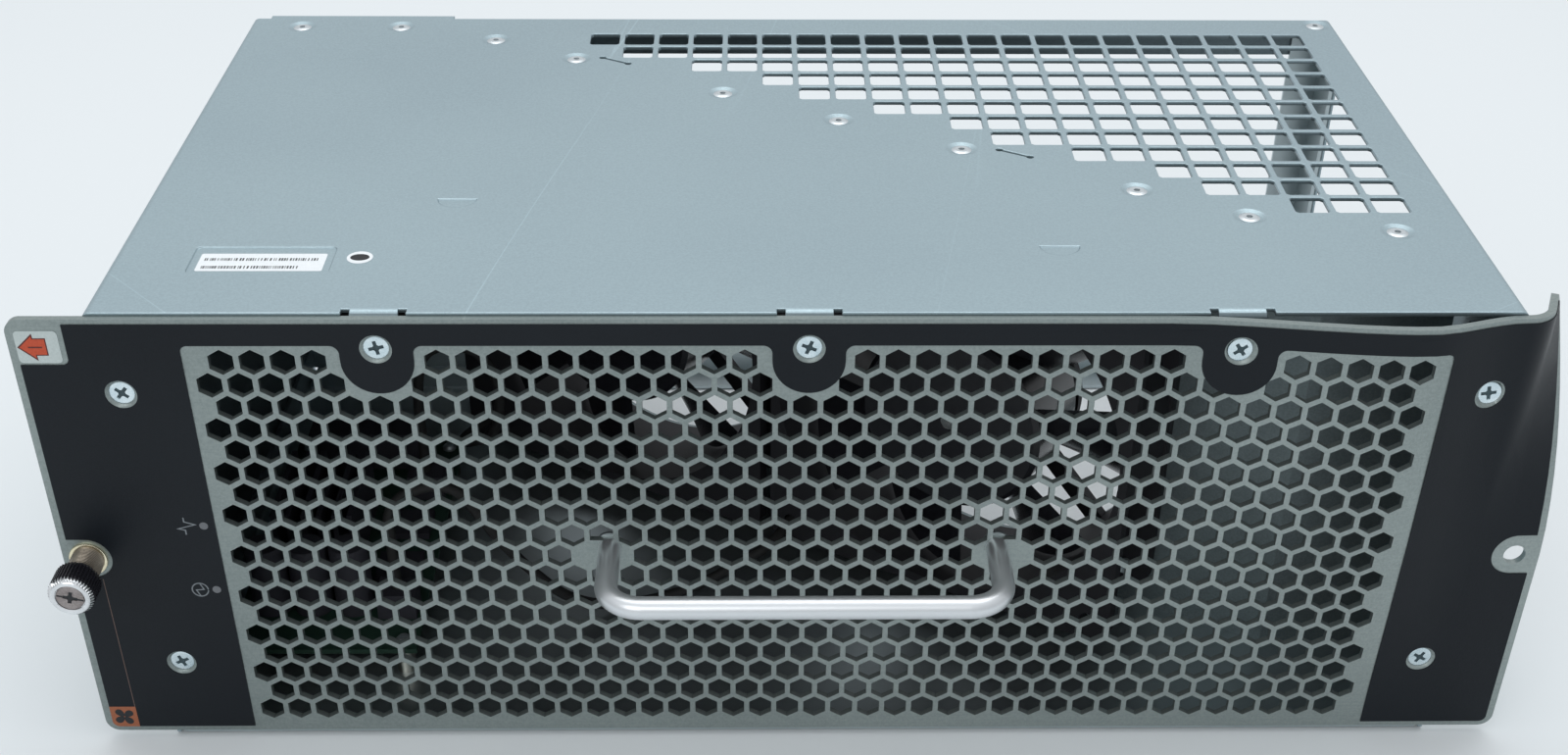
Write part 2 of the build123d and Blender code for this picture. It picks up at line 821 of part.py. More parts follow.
def rear_bay():
    """Rear left wall panel with its connector cut-out and riveted top flange."""
    left = -inner_half + sheet + bend
    inner = bay_rear - sheet
    panel = slab(left, bay_edge_x, inner, bay_rear, sheet, ceiling)
    front = inner - bay_flange
    panel += slab(left, bay_edge_x, front, bay_rear, ceiling - sheet, ceiling)
    panel += slab(left, bay_edge_x, front, bay_rear, sheet, 2 * sheet)
    panel += slab(bay_edge_x - sheet, bay_edge_x, front, bay_rear, sheet, ceiling)
    cut = Pos(plug_x, bay_rear, plug_z) * Box(plug_width + 0.6, 4 * sheet, plug_height + 0.6)
    tools = [cut]
    tools += [Pos(x, y, box_height) * dimple() for x, y in top_rivet_places()[-2:]]
    hole = Rot(90, 0, 0) * Cylinder(plug_hole_radius, 4 * sheet)
    tools += [Pos(x, bay_rear, plug_z) * hole for x in plug_hole_places()]
    return panel - tools


def plug_hole_places():
    """Screw places beside the connector, from left to right."""
    reach = plug_width / 2 + plug_hole_inset
    return [plug_x - reach, plug_x + reach]


def rear_plug():
    """Blind-mating connector body behind the bay panel, with contact slots and ears."""
    inner = bay_rear - sheet
    low = plug_z - plug_height / 2
    high = plug_z + plug_height / 2
    body = slab(plug_x - plug_width / 2, plug_x + plug_width / 2, inner - plug_depth, bay_rear, low, high)
    ear = plug_width / 2 + plug_ear
    body += slab(plug_x - ear, plug_x + ear, inner - plug_ear_thickness, inner, low + 1, high - 1)
    slot = Box(plug_slot_width, 2 * plug_slot_depth, plug_height - 5)
    first = plug_x - (plug_slots - 1) / 2 * plug_slot_pitch
    slots = [Pos(first + k * plug_slot_pitch, bay_rear, plug_z) * slot for k in range(plug_slots)]
    hole = Rot(90, 0, 0) * Cylinder(plug_hole_radius, 3 * plug_ear_thickness)
    holes = [Pos(x, inner, plug_z) * hole for x in plug_hole_places()]
    return body - slots - holes


def plug_screws():
    """Two screws that hold the connector to the bay panel."""
    screw = pan_head_screw(plug_hole_radius - 0.1, plug_ear_thickness + sheet - 0.2)
    ear_front = bay_rear - sheet - plug_ear_thickness
    return [Pos(x, ear_front, plug_z) * Rot(-90, 0, 0) * screw for x in plug_hole_places()]


def fan_frame():
    """Fan housing: round duct, two square flanges, motor base and four struts."""
    hole = Circle(fan_screw_radius + 0.15)
    flange = RectangleRounded(fan_size, fan_size, fan_corner) - Circle(duct_radius)
    flange -= [Pos(place.position.X, place.position.Y) * hole for place in fan_hole_places()]
    body = extrude(flange, fan_flange)
    body += Pos(0, 0, fan_depth - fan_flange) * extrude(flange, fan_flange)
    body += extrude(Circle(duct_radius + duct_wall) - Circle(duct_radius), fan_depth)
    body += extrude(Circle(hub_radius), motor_base)
    half = strut_width / 2
    strut = slab(hub_radius - 4, duct_radius + duct_wall / 2, -half, half, 0, motor_base + 0.6)
    body += [Rot(0, 0, strut_turn + 90 * k) * strut for k in range(4)]
    tube_inner = bearing_radius + fit_gap
    body += extrude(Circle(tube_inner + bearing_wall) - Circle(tube_inner), bearing_tube_top)
    return body


def bearing(height):
    """Ball bearing shown as one ring with recessed shields."""
    inner = shaft_radius + bearing_fit
    inner_race = inner + bearing_race
    outer_race = bearing_radius - bearing_race
    return Pos(0, 0, height) * turned([
        (inner, 0),
        (inner_race, 0),
        (inner_race, bearing_shield),
        (outer_race, bearing_shield),
        (outer_race, 0),
        (bearing_radius, 0),
        (bearing_radius, bearing_width),
        (outer_race, bearing_width),
        (outer_race, bearing_width - bearing_shield),
        (inner_race, bearing_width - bearing_shield),
        (inner_race, bearing_width),
        (inner, bearing_width),
    ])


def bearing_pair():
    """Lower and upper bearing of one fan."""
    return [bearing(motor_base + 0.5), bearing(bearing_upper)]


def motor_core():
    """Laminated four-pole core on the bearing tube."""
    bore = bearing_radius + fit_gap + bearing_wall + fit_gap
    face = Circle(core_radius) - Circle(bore)
    window = Pos(core_window_reach, 0) * Circle(core_window_radius)
    window += Pos(core_slot_reach, 0) * Rectangle(6, 3)
    face -= [Rot(0, 0, 45 + 90 * k) * window for k in range(4)]
    return Pos(0, 0, core_base) * extrude(face, core_height)


def motor_coils():
    """Four windings, one round each pole."""
    coil = Box(coil_depth, coil_width, core_height + 2 * coil_rise)
    coil -= Box(2 * coil_depth, coil_width - 2 * coil_wall, core_height + 0.4)
    return [Rot(0, 0, 90 * k) * Pos(coil_reach, 0, core_base + core_height / 2) * coil for k in range(4)]


def blade():
    """One cambered fan blade, twisted from root to tip."""
    sections = []
    middle = (hub_open + hub_top) / 2
    for reach, (chord, pitch, camber) in ((hub_radius - 6, blade_root), (duct_radius + 3, blade_tip)):
        frame = Plane(origin=(reach, 0, middle), x_dir=(0, 1, 0), z_dir=(1, 0, 0))
        outer = ThreePointArc((-chord / 2, 0), (0, camber), (chord / 2, 0))
        inner = ThreePointArc((chord / 2, 0), (0, camber - blade_thickness), (-chord / 2, 0))
        sections.append(frame * Rot(0, 0, pitch) * make_face(outer + inner))
    solid = loft(sections, ruled=True)
    ring = rod(duct_radius - tip_gap, 0, fan_depth) - rod(hub_radius - 1, -1, fan_depth + 1)
    return solid & ring


def impeller():
    """Hub cup with seven blades."""
    hub = turned([
        (shaft_radius + fit_gap, boss_foot),
        (boss_outer, boss_foot),
        (boss_outer, hub_top - 2),
        (hub_radius - hub_wall, hub_top - 2),
        (hub_radius - hub_wall, hub_open),
        (hub_radius, hub_open),
        (hub_radius, hub_top - 1.5),
        (hub_radius - 1.5, hub_top),
        (shaft_radius + fit_gap, hub_top),
    ])
    blades = blade()
    for k in range(1, blade_count):
        blades += Rot(0, 0, 360 / blade_count * k) * blade()
    return hub + blades


def motor_shaft():
    """Steel shaft pressed into the hub."""
    return turned([
        (0, motor_base + 0.4),
        (shaft_radius - 0.4, motor_base + 0.4),
        (shaft_radius, motor_base + 0.8),
        (shaft_radius, hub_top - 0.2),
        (0, hub_top - 0.2),
    ])


def magnet_ring():
    """Ring magnet inside the hub."""
    outer = hub_radius - hub_wall - fit_gap
    ring = Circle(outer) - Circle(outer - magnet_wall)
    return Pos(0, 0, magnet_base) * extrude(ring, magnet_height)


def fan_screws():
    """Screws through the slanted wall into both fans."""
    screw = Pos(0, 0, -sheet) * pan_head_screw(fan_screw_radius, fan_screw_length)
    places = [at_wall(along, fan_height) * place for along in fan_centres for place in fan_hole_places()]
    return [place * screw for place in places]


def board_corners():
    """Fixing places of the controller board."""
    x0 = board_left + board_hole_inset
    x1 = board_left + board_length_x - board_hole_inset
    y0 = board_front + board_hole_inset
    y1 = board_front + board_length_y - board_hole_inset
    return [(x, y) for x in (x0, x1) for y in (y0, y1)]


def controller_board():
    """Circuit board on the floor of the left chamber."""
    right = board_left + board_length_x
    rear = board_front + board_length_y
    face = slab(board_left, right, board_front, rear, sheet + board_height, board_top)
    return face - [Pos(x, y, board_top) * rod(board_hole_radius, -4, 4) for x, y in board_corners()]


def board_parts():
    """Heat sink, capacitors, chips and sockets standing on the board."""
    x0 = board_left
    y0 = board_front
    parts = []
    sink = slab(x0 + 8, x0 + 34, y0 + 40, y0 + 78, board_top, board_top + 4)
    for k in range(6):
        fin = x0 + 8 + k * 4.88
        sink += slab(fin, fin + 1.6, y0 + 40, y0 + 78, board_top + 3, board_top + 22)
    parts.append(sink)
    for k in range(3):
        can = turned([(0, 0), (6.0, 0), (6.0, 23.0), (5.4, 24.0), (0, 24.0)])
        parts.append(Pos(x0 + 10 + 13 * k, y0 + 22, board_top) * can)
    for k in range(2):
        parts.append(slab(x0 + 40, x0 + 54, y0 + 34 + 24 * k, y0 + 48 + 24 * k, board_top, board_top + 2.4))
    for y in socket_ys:
        parts.append(slab(socket_x - 6, socket_x + 6, y - 5, y + 5, board_top, board_top + socket_height))
    parts.append(slab(x0 + 8, x0 + 46, y0 + 100, y0 + 110, board_top, board_top + 14))
    return parts


def board_standoffs():
    """Threaded pillars under the board."""
    pillar = extrude(Circle(standoff_radius) - Circle(standoff_bore), board_height)
    return [Pos(x, y, sheet) * pillar for x, y in board_corners()]


def board_screws():
    """Screws that hold the board to its pillars."""
    screw = Rot(180, 0, 0) * pan_head_screw(1.25, 6.0)
    return [Pos(x, y, board_top) * screw for x, y in board_corners()]


def lead_exit(index):
    """Where a fan's lead leaves the front corner of its frame."""
    along = fan_centres[index] - fan_size / 2 + 8
    place = (at_wall(along, fan_height - fan_size / 2 + 8) * Pos(0, 0, fan_depth)).position
    return place.X, place.Y, place.Z


def left_lead_route():
    """Left fan's lead: a loop up from the fan's corner and down into its socket."""
    x, y, z = lead_exit(0)
    end_y = socket_ys[0]
    socket_top = board_top + socket_height
    return [
        (x, y, z),
        (x - 20 * wall_normal[0], y - 20 * wall_normal[1], z),
        (socket_x + 24, end_y + 6, z + 11),
        (socket_x + 28, end_y, socket_top + 33),
        (socket_x + 22, end_y - 2, socket_top + 49),
        (socket_x + 4, end_y - 1, socket_top + 49),
        (socket_x, end_y, socket_top + 31),
        (socket_x, end_y, socket_top),
    ]


def right_lead_route():
    """Right fan's lead: along the floor past the left fan, then up and into its socket."""
    x, y, z = lead_exit(1)
    end_y = socket_ys[1]
    socket_top = board_top + socket_height
    floor_line = sheet + lead_radius + 0.5
    return [
        (x, y, z),
        (x - 14 * wall_normal[0], y - 14 * wall_normal[1], z - 2),
        (x - 36, y - 21, floor_line),
        (x - 68, y - 28, floor_line),
        (socket_x + 36, end_y + 4, socket_top + 9),
        (socket_x + 20, end_y + 2, socket_top + 39),
        (socket_x, end_y, socket_top + 33),
        (socket_x, end_y, socket_top),
    ]


def lead(name, route):
    """Sleeved lead: straight runs joined by arcs as large as the runs allow."""
    runs = [math.dist(a, b) for a, b in zip(route, route[1:])]
    radii = []
    for k in range(1, len(route) - 1):
        before = Vector(route[k]) - Vector(route[k - 1])
        after = Vector(route[k + 1]) - Vector(route[k])
        turn = math.radians(before.get_angle(after))
        radii.append(0.45 * min(runs[k - 1], runs[k]) / math.tan(turn / 2))
    path = FilletPolyline(*route, radius=radii)
    print(name, "arc radii", [round(r, 1) for r in radii], "length", round(path.length, 1))
    return sweep(Plane(origin=path @ 0, z_dir=path % 0) * Circle(lead_radius), path=path)


def write(name, shapes):
    """Write one node, holding one solid or several."""
    pieces = shapes if isinstance(shapes, list) else [shapes]
    solids = [solid for piece in pieces for solid in piece.solids()]
    export_step(Compound(children=solids, label=name), f"parts/{name}.step")


def build():
    """Make and write every piece."""
    os.makedirs("parts", exist_ok=True)
    write("front_panel", front_panel())
    write("front_film", front_film())
    write("panel_screws", [at_panel(x, z) * panel_screw() for x, z in panel_screw_places])
    write("handle", handle())
    write("handle_screws", handle_screws())
    left_thumb = at_panel(-thumb_x, thumb_height)
    write("thumb_ferrule", left_thumb * thumb_ferrule())
    write("thumb_knob", left_thumb * thumb_knob())
    write("thumb_screw", left_thumb * thumb_screw())
    write("thumb_washer", left_thumb * thumb_washer())
    write("thumb_spring", left_thumb * thumb_spring())
    write("status_lenses", [at_panel(lens_x, z) * status_lens() for z in (lens_upper, lens_lower)])
    write("top_cover", top_cover())
    write("bottom_pan", bottom_pan())
    write("fan_wall", fan_wall())
    write("corner_post", corner_post())
    write("rear_bay", rear_bay())
    write("rear_plug", rear_plug())
    write("plug_screws", plug_screws())
    write("top_rivets", [Pos(x, y, box_height) * rivet() for x, y in top_rivet_places()])
    write("bottom_rivets", [Pos(x, y, 0) * Rot(180, 0, 0) * rivet() for x, y in bottom_rivet_places()])
    for side, along in zip(("left", "right"), fan_centres):
        place = at_wall(along, fan_height)
        write(f"fan_frame_{side}", place * fan_frame())
        write(f"fan_bearings_{side}", [place * piece for piece in bearing_pair()])
        write(f"fan_core_{side}", place * motor_core())
        write(f"fan_coils_{side}", [place * piece for piece in motor_coils()])
        write(f"impeller_{side}", place * impeller())
        write(f"fan_shaft_{side}", place * motor_shaft())
        write(f"magnet_ring_{side}", place * magnet_ring())
    write("fan_screws", fan_screws())
    write("controller_board", controller_board())
    write("board_parts", board_parts())
    write("board_standoffs", board_standoffs())
    write("board_screws", board_screws())
    write("fan_lead_left", lead("left lead", left_lead_route()))
    write("fan_lead_right", lead("right lead", right_lead_route()))


build()
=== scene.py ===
import json
import math
import random

import bmesh
import bpy
from mathutils import Matrix, Vector


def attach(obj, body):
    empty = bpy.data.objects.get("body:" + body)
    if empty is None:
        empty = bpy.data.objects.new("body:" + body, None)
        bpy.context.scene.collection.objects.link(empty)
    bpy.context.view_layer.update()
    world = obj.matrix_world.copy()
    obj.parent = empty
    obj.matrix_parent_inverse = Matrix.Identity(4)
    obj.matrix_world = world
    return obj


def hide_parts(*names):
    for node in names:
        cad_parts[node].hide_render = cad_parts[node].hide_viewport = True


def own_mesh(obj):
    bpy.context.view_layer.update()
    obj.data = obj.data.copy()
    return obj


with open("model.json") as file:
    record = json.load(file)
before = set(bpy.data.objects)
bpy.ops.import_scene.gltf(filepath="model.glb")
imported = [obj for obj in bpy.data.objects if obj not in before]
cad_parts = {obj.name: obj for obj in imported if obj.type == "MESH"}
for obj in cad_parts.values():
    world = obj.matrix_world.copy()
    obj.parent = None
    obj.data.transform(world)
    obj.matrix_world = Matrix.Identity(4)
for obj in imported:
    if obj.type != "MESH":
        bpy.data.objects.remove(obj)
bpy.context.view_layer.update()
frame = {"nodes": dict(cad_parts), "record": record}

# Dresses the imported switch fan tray: finishes for every piece, driver recesses in the screws, the ribbed
# captive screw, the printed marks and labels, the cover's slightly rounded edges, a strip in its rear left
# corner, and the dented corner of the front panel. Lengths are in millimetres and angles in degrees, except
# in shader values, which are in metres.

mm = 0.001

# Camera
camera_place = (-14.4, -522.9, 380.1)
camera_turn = (54.557, -0.404, -0.805)
camera_lens = 43.77
camera_shift = 0.10

# Places shared with the CAD
panel_front = -91.8
panel_back = -89.8
panel_low = 2.4
box_half = 187.1
box_top = 141.9
box_rear = 119.9
half_sheet = 0.6
bay_inner = 121.3
label_recess = 0.4
film_front = -92.1
film_left = -204.6
film_low = 4.1
film_corner = 2.0

# Panel screws, as (x, z) from left to right and from low to high, with the turn of each recess
screw_places = [(-112.3, 132.3), (0, 132.3), (112.3, 132.3)]
screw_places += [(x, z) for x in (-180.4, 180.4) for z in (28.3, 118.8)]
screw_turns = (12, 68, 35, 24, 51, 60, 8)
screw_face = -0.58
screw_recess_reach = 2.05
screw_recess_width = 0.98
screw_recess_depth = 1.5
# How far behind the panel's front the dark crosses of painted shade in the screw recesses lie
shade_front = 0.82
shade_back = 0.9

# Captive screw on the left, with heights from the panel's front
thumb_x = 199.6
thumb_z = 65.6
ferrule_floor = 0.6
ferrule_top = 10.3
neck_radius = 4.45
groove_radius = 4.3
groove_pitch = 0.6
groove_count = 14
knob_low = 9.6
knob_top = 18.6
knob_shoulder = knob_top - 1.75
knob_core = 3.0
rib_count = 42
rib_heights = (0.0, 0.0, 0.3, 0.55, 0.55, 0.3)
disc_face = knob_top - 0.3
disc_turn = -14.0

# Dent in the panel's upper right corner, with the places where the flat sheet is cut to bend
dent_start = 92.0
dent_crest = 159.0
dent_end = 187.0
dent_heights = (2.4, 17.0, 45.0, 73.0, 115.0, 141.0)
dent_bulges = (0.0, 0.5, 2.7, 4.5, 5.8, 6.2)
ear_fold_low = 68.0
ear_fold_top = 141.0
ear_fold_angle = 68.0
ear_fold_radius = 7.0
dent_cuts = (94, 104, 114, 124, 134, 142, 150, 156, 162, 167, 171, 175, 179, 183)
ear_cut_step = 0.75
ear_cut_count = 13
level_cuts = range(10, 142, 8)

# Cover: rounding of its upper edges, angles of an edge and of a crease, and the cosine of a flat face
edge_round = 0.22
edge_angle = 60
cover_crease = 14.0
flat_enough = 0.9999

# Strip inside the rear left corner
seam_inner = -178.0
seam_low = 2.45
seam_top = 139.45
seam_corner = 0.6

# Prints and labels
print_skin = 0.03
sticker_thickness = 0.1

# Scratches on level steel, as turn, length of a run and shift of its noise
scratch_runs = ((33, 40, 0.0), (-48, 55, 3.1), (80, 30, 7.7))
scratch_width = 0.02
scratch_gate = (0.64, 0.7)


def collection_add(obj):
    """Puts an object in the scene."""
    bpy.context.scene.collection.objects.link(obj)
    return obj


# Shader groups

def group_tree(name, inputs, outputs):
    """Empty node group with named number inputs and outputs."""
    tree = bpy.data.node_groups.new(name, "ShaderNodeTree")
    for label, value in inputs:
        socket = tree.interface.new_socket(label, in_out="INPUT", socket_type="NodeSocketFloat")
        socket.default_value = value
    for label in outputs:
        tree.interface.new_socket(label, in_out="OUTPUT", socket_type="NodeSocketFloat")
    given = tree.nodes.new("NodeGroupInput")
    made = tree.nodes.new("NodeGroupOutput")
    return tree, given, made


def node(tree, kind, **settings):
    """New node with its properties set by name."""
    made = tree.nodes.new(kind)
    for key, value in settings.items():
        setattr(made, key, value)
    return made


def feed(tree, target, source):
    """Sets a socket's value, or links another socket to it."""
    if isinstance(source, bpy.types.NodeSocket):
        tree.links.new(source, target)
    else:
        target.default_value = source


def sums(tree, operation, first, second=0.0, third=0.0, clamp=False):
    """Math node; returns its result."""
    made = node(tree, "ShaderNodeMath", operation=operation, use_clamp=clamp)
    for socket, value in zip(made.inputs, (first, second, third)):
        feed(tree, socket, value)
    return made.outputs[0]


def spread(tree, value, low, high, to_low=0.0, to_high=1.0):
    """Maps a value's range onto another, clamped."""
    made = node(tree, "ShaderNodeMapRange", clamp=True)
    for socket, item in zip(made.inputs, (value, low, high, to_low, to_high)):
        feed(tree, socket, item)
    return made.outputs[0]


def placed(tree, turn=(0, 0, 0), stretch=(1, 1, 1)):
    """Object coordinates, drawn out along turned axes."""
    place = node(tree, "ShaderNodeTexCoord")
    mapping = node(tree, "ShaderNodeMapping", vector_type="TEXTURE")
    mapping.inputs["Rotation"].default_value = [math.radians(a) for a in turn]
    mapping.inputs["Scale"].default_value = stretch
    tree.links.new(place.outputs["Object"], mapping.inputs["Vector"])
    return mapping.outputs[0]


def cloudy(tree, vector, scale, detail, rough):
    """Noise texture value."""
    made = node(tree, "ShaderNodeTexNoise")
    tree.links.new(vector, made.inputs["Vector"])
    feed(tree, made.inputs["Scale"], scale)
    made.inputs["Detail"].default_value = detail
    made.inputs["Roughness"].default_value = rough
    return made.outputs[0]


def speckle_group():
    """Fine even speckle of plated or rolled steel, with soft large patches."""
    tree, given, made = group_tree("plating_speckle", [("Scale", 900.0), ("Patch Scale", 9.0)],
                                   ["Speckle", "Patches"])
    place = placed(tree)
    fine = cloudy(tree, place, given.outputs["Scale"], detail=2.0, rough=0.7)
    soft = cloudy(tree, place, given.outputs["Patch Scale"], detail=3.0, rough=0.5)
    tree.links.new(spread(tree, fine, 0.32, 0.68), made.inputs["Speckle"])
    tree.links.new(spread(tree, soft, 0.3, 0.7), made.inputs["Patches"])
    return tree


def grain_group():
    """Long brushed lines along X."""
    tree, given, made = group_tree("brushed_grain", [("Scale", 400.0)], ["Grain"])
    along = placed(tree, stretch=(24, 1, 1))
    lines = cloudy(tree, along, given.outputs["Scale"], detail=3.0, rough=0.6)
    tree.links.new(spread(tree, lines, 0.3, 0.7), made.inputs["Grain"])
    return tree


def scratch_group():
    """Sparse hairline scratches in three slanted directions, on level faces."""
    tree, given, made = group_tree("hairline_scratches", [("Scale", 26.0), ("Amount", 0.5)], ["Scratches"])
    total = None
    for turn, length, seed_shift in scratch_runs:
        place = placed(tree, turn=(0, 0, turn), stretch=(length, 0.7, 1))
        shifted = node(tree, "ShaderNodeVectorMath", operation="ADD")
        tree.links.new(place, shifted.inputs[0])
        shifted.inputs[1].default_value = (seed_shift, seed_shift, seed_shift)
        close = sums(tree, "MULTIPLY", given.outputs["Scale"], 4.0)
        lines = cloudy(tree, shifted.outputs[0], close, detail=1.0, rough=0.6)
        broken = cloudy(tree, shifted.outputs[0], given.outputs["Scale"], detail=1.0, rough=0.5)
        offset = sums(tree, "ABSOLUTE", sums(tree, "SUBTRACT", lines, 0.5))
        thin = spread(tree, offset, 0.0, scratch_width, 1.0, 0.0)
        gate = spread(tree, broken, *scratch_gate)
        one = sums(tree, "MULTIPLY", thin, gate)
        total = one if total is None else sums(tree, "MAXIMUM", total, one)
    faded = sums(tree, "MULTIPLY", total, given.outputs["Amount"], clamp=True)
    facing = node(tree, "ShaderNodeTexCoord")
    parts = node(tree, "ShaderNodeSeparateXYZ")
    tree.links.new(facing.outputs["Normal"], parts.inputs[0])
    level = spread(tree, sums(tree, "ABSOLUTE", parts.outputs["Z"]), 0.5, 0.9)
    tree.links.new(sums(tree, "MULTIPLY", faded, level), made.inputs["Scratches"])
    return tree


def inner_shade_group():
    """Mask of the box's inner faces, where painted shade darkens the sheet; it spares the strip behind the
    panel.
    """
    bare_strip = 1.6
    tree, given, made = group_tree("painted_inner_shade", [("Shade", 0.5)], ["Inside"])
    place = node(tree, "ShaderNodeTexCoord")
    parts = node(tree, "ShaderNodeSeparateXYZ")
    tree.links.new(place.outputs["Object"], parts.inputs[0])
    x, y, z = parts.outputs
    tests = [
        sums(tree, "LESS_THAN", sums(tree, "ABSOLUTE", x), (box_half - half_sheet) * mm),
        sums(tree, "LESS_THAN", z, (box_top - half_sheet) * mm),
        sums(tree, "LESS_THAN", y, (box_rear - half_sheet) * mm),
    ]
    behind = sums(tree, "GREATER_THAN", y, (panel_back + bare_strip) * mm)
    over_floor = sums(tree, "GREATER_THAN", z, half_sheet * mm)
    over_strip = sums(tree, "GREATER_THAN", z, panel_low * mm)
    mask = sums(tree, "MAXIMUM", sums(tree, "MULTIPLY", behind, over_floor), over_strip)
    for test in tests:
        mask = sums(tree, "MULTIPLY", mask, test)
    tree.links.new(sums(tree, "MULTIPLY", mask, given.outputs["Shade"]), made.inputs["Inside"])
    return tree


def place_group(tree, group, **values):
    """Group node with its inputs set by name; underscores stand for spaces."""
    made = node(tree, "ShaderNodeGroup", node_tree=group)
    for label, value in values.items():
        feed(tree, made.inputs[label.replace("_", " ")], value)
    return made.outputs


speckle = speckle_group()
grain = grain_group()
scratches = scratch_group()
painted_inner_shade = inner_shade_group()


def linear(red, green, blue):
    """Colour written as 0 to 255, turned to the shader's own scale."""
    parts = [((c / 255 + 0.055) / 1.055) ** 2.4 if c > 10 else c / 255 / 12.92 for c in (red, green, blue)]
    return tuple(parts) + (1.0,)


def mixed(tree, share, first, second):
    """Colour between two colours by a share that varies over the surface."""
    made = node(tree, "ShaderNodeMix", data_type="RGBA")
    feed(tree, made.inputs[0], share)
    feed(tree, made.inputs[6], first)
    feed(tree, made.inputs[7], second)
    return made.outputs[2]


def bumped(tree, shader, height, distance, strength):
    """Drives the shader's normal from a height."""
    made = node(tree, "ShaderNodeBump")
    made.inputs["Strength"].default_value = strength
    made.inputs["Distance"].default_value = distance
    tree.links.new(height, made.inputs["Height"])
    tree.links.new(made.outputs[0], shader.inputs["Normal"])


def varied(tree, tone, middle, swing):
    """Roughness that falls as the tone rises."""
    return spread(tree, tone, 0.0, 1.0, middle + swing, middle - swing)


def finish_of(name, roughness, metallic, specular=0.5):
    """New material; returns it with its tree and its shader."""
    made = bpy.data.materials.new(name)
    made.use_nodes = True
    tree = made.node_tree
    shader = tree.nodes["Principled BSDF"]
    shader.inputs["Roughness"].default_value = roughness
    shader.inputs["Metallic"].default_value = metallic
    shader.inputs["Specular IOR Level"].default_value = specular
    return made, tree, shader


def sheet_steel(name, light, dark, roughness, metallic, scratch_amount, brushed=0.0, inner=0.0):
    """Galvanised sheet: speckled, softly patched and scratched, brushed or plain rolled; when inner is set,
    painted shade darkens its inner faces.
    """
    scratch_shine = 1.45
    made, tree, shader = finish_of(name, roughness, metallic)
    fine = place_group(tree, speckle, Scale=1400.0, Patch_Scale=7.0)
    lines = place_group(tree, scratches, Scale=22.0, Amount=scratch_amount)
    tone = sums(tree, "MULTIPLY", fine["Patches"], 0.5)
    tone = sums(tree, "MULTIPLY_ADD", fine["Speckle"], 0.5 - brushed, tone)
    if brushed:
        brush = place_group(tree, grain, Scale=1500.0)["Grain"]
        tone = sums(tree, "MULTIPLY_ADD", brush, brushed, tone, clamp=True)
    colour = mixed(tree, tone, dark, light)
    # Painted shade: the box's inner faces are mixed towards a dark shade colour
    if inner:
        shade_share = place_group(tree, painted_inner_shade, Shade=inner)["Inside"]
        colour = mixed(tree, shade_share, colour, inner_shade_colour)
    bright = tuple(min(1.0, scratch_shine * c) for c in light[:3]) + (1.0,)
    tree.links.new(mixed(tree, lines["Scratches"], colour, bright), shader.inputs["Base Color"])
    tree.links.new(varied(tree, tone, roughness, swing=0.06), shader.inputs["Roughness"])
    bumped(tree, shader, tone, distance=0.00004, strength=0.35)
    return made


def plated(name, light, dark, roughness, speckle_scale=2200.0):
    """Small plated metal part with a faint mottle."""
    made, tree, shader = finish_of(name, roughness, metallic=1.0)
    fine = place_group(tree, speckle, Scale=speckle_scale, Patch_Scale=160.0)
    tone = sums(tree, "MULTIPLY_ADD", fine["Speckle"], 0.4, sums(tree, "MULTIPLY", fine["Patches"], 0.6))
    tree.links.new(mixed(tree, tone, dark, light), shader.inputs["Base Color"])
    tree.links.new(varied(tree, tone, roughness, swing=0.06), shader.inputs["Roughness"])
    bumped(tree, shader, fine["Speckle"], distance=0.00002, strength=0.3)
    return made


def moulded(name, light, dark, roughness, speckle_scale=1500.0, specular=0.4):
    """Moulded or printed plastic with a fine texture."""
    made, tree, shader = finish_of(name, roughness, 0.0, specular)
    fine = place_group(tree, speckle, Scale=speckle_scale, Patch_Scale=20.0)
    tone = sums(tree, "MULTIPLY_ADD", fine["Speckle"], 0.55, sums(tree, "MULTIPLY", fine["Patches"], 0.45))
    tree.links.new(mixed(tree, tone, dark, light), shader.inputs["Base Color"])
    tree.links.new(varied(tree, tone, roughness, swing=0.05), shader.inputs["Roughness"])
    bumped(tree, shader, fine["Speckle"], distance=0.00003, strength=0.4)
    return made


# Colour of the painted shade inside the box
inner_shade_colour = linear(62, 70, 73)
# The box's sheet carries painted shade on its inner faces, which also darkens the gap behind the panel's
# top edge
galvanised_box = sheet_steel(
    "galvanised_box", linear(170, 189, 195), linear(152, 169, 176), 0.42, 0.75, 0.35, inner=0.62)
inner_wall_steel = sheet_steel(
    "inner_wall_steel", linear(140, 152, 154), linear(114, 125, 128), 0.45, 0.7, 0.2)
galvanised_panel = sheet_steel(
    "galvanised_panel", linear(156, 165, 163), linear(122, 132, 131), 0.42, 0.75, 0.25, brushed=0.15)
printed_film = moulded("printed_film", linear(19, 25, 31), linear(13, 18, 24), 0.42, 2600.0, 0.2)
zinc_screw = plated("zinc_screw", linear(230, 240, 243), linear(184, 204, 212), 0.25)
ferrule_steel = plated("ferrule_steel", linear(150, 142, 130), linear(96, 88, 78), 0.34)
ferrule_brass = plated("ferrule_brass", linear(248, 240, 214), linear(214, 202, 168), 0.2)
polished_rim = plated("polished_rim", linear(236, 238, 240), linear(204, 206, 208), 0.16)
worn_disc = plated("worn_disc", linear(176, 168, 166), linear(112, 104, 102), 0.36)
black_knob = moulded("black_knob", linear(38, 38, 44), linear(20, 20, 24), 0.26, 2000.0, 0.6)
spring_steel = plated("spring_steel", linear(170, 172, 174), linear(120, 122, 125), 0.3)
label_white = moulded("label_white", linear(232, 236, 238), linear(218, 223, 226), 0.5)
sticker_grey = moulded("sticker_grey", linear(190, 200, 198), linear(174, 184, 183), 0.45)
# Painted shade for the panel screws' recesses
recess_shade = moulded("recess_shade", linear(56, 78, 84), linear(38, 54, 60), 0.4)
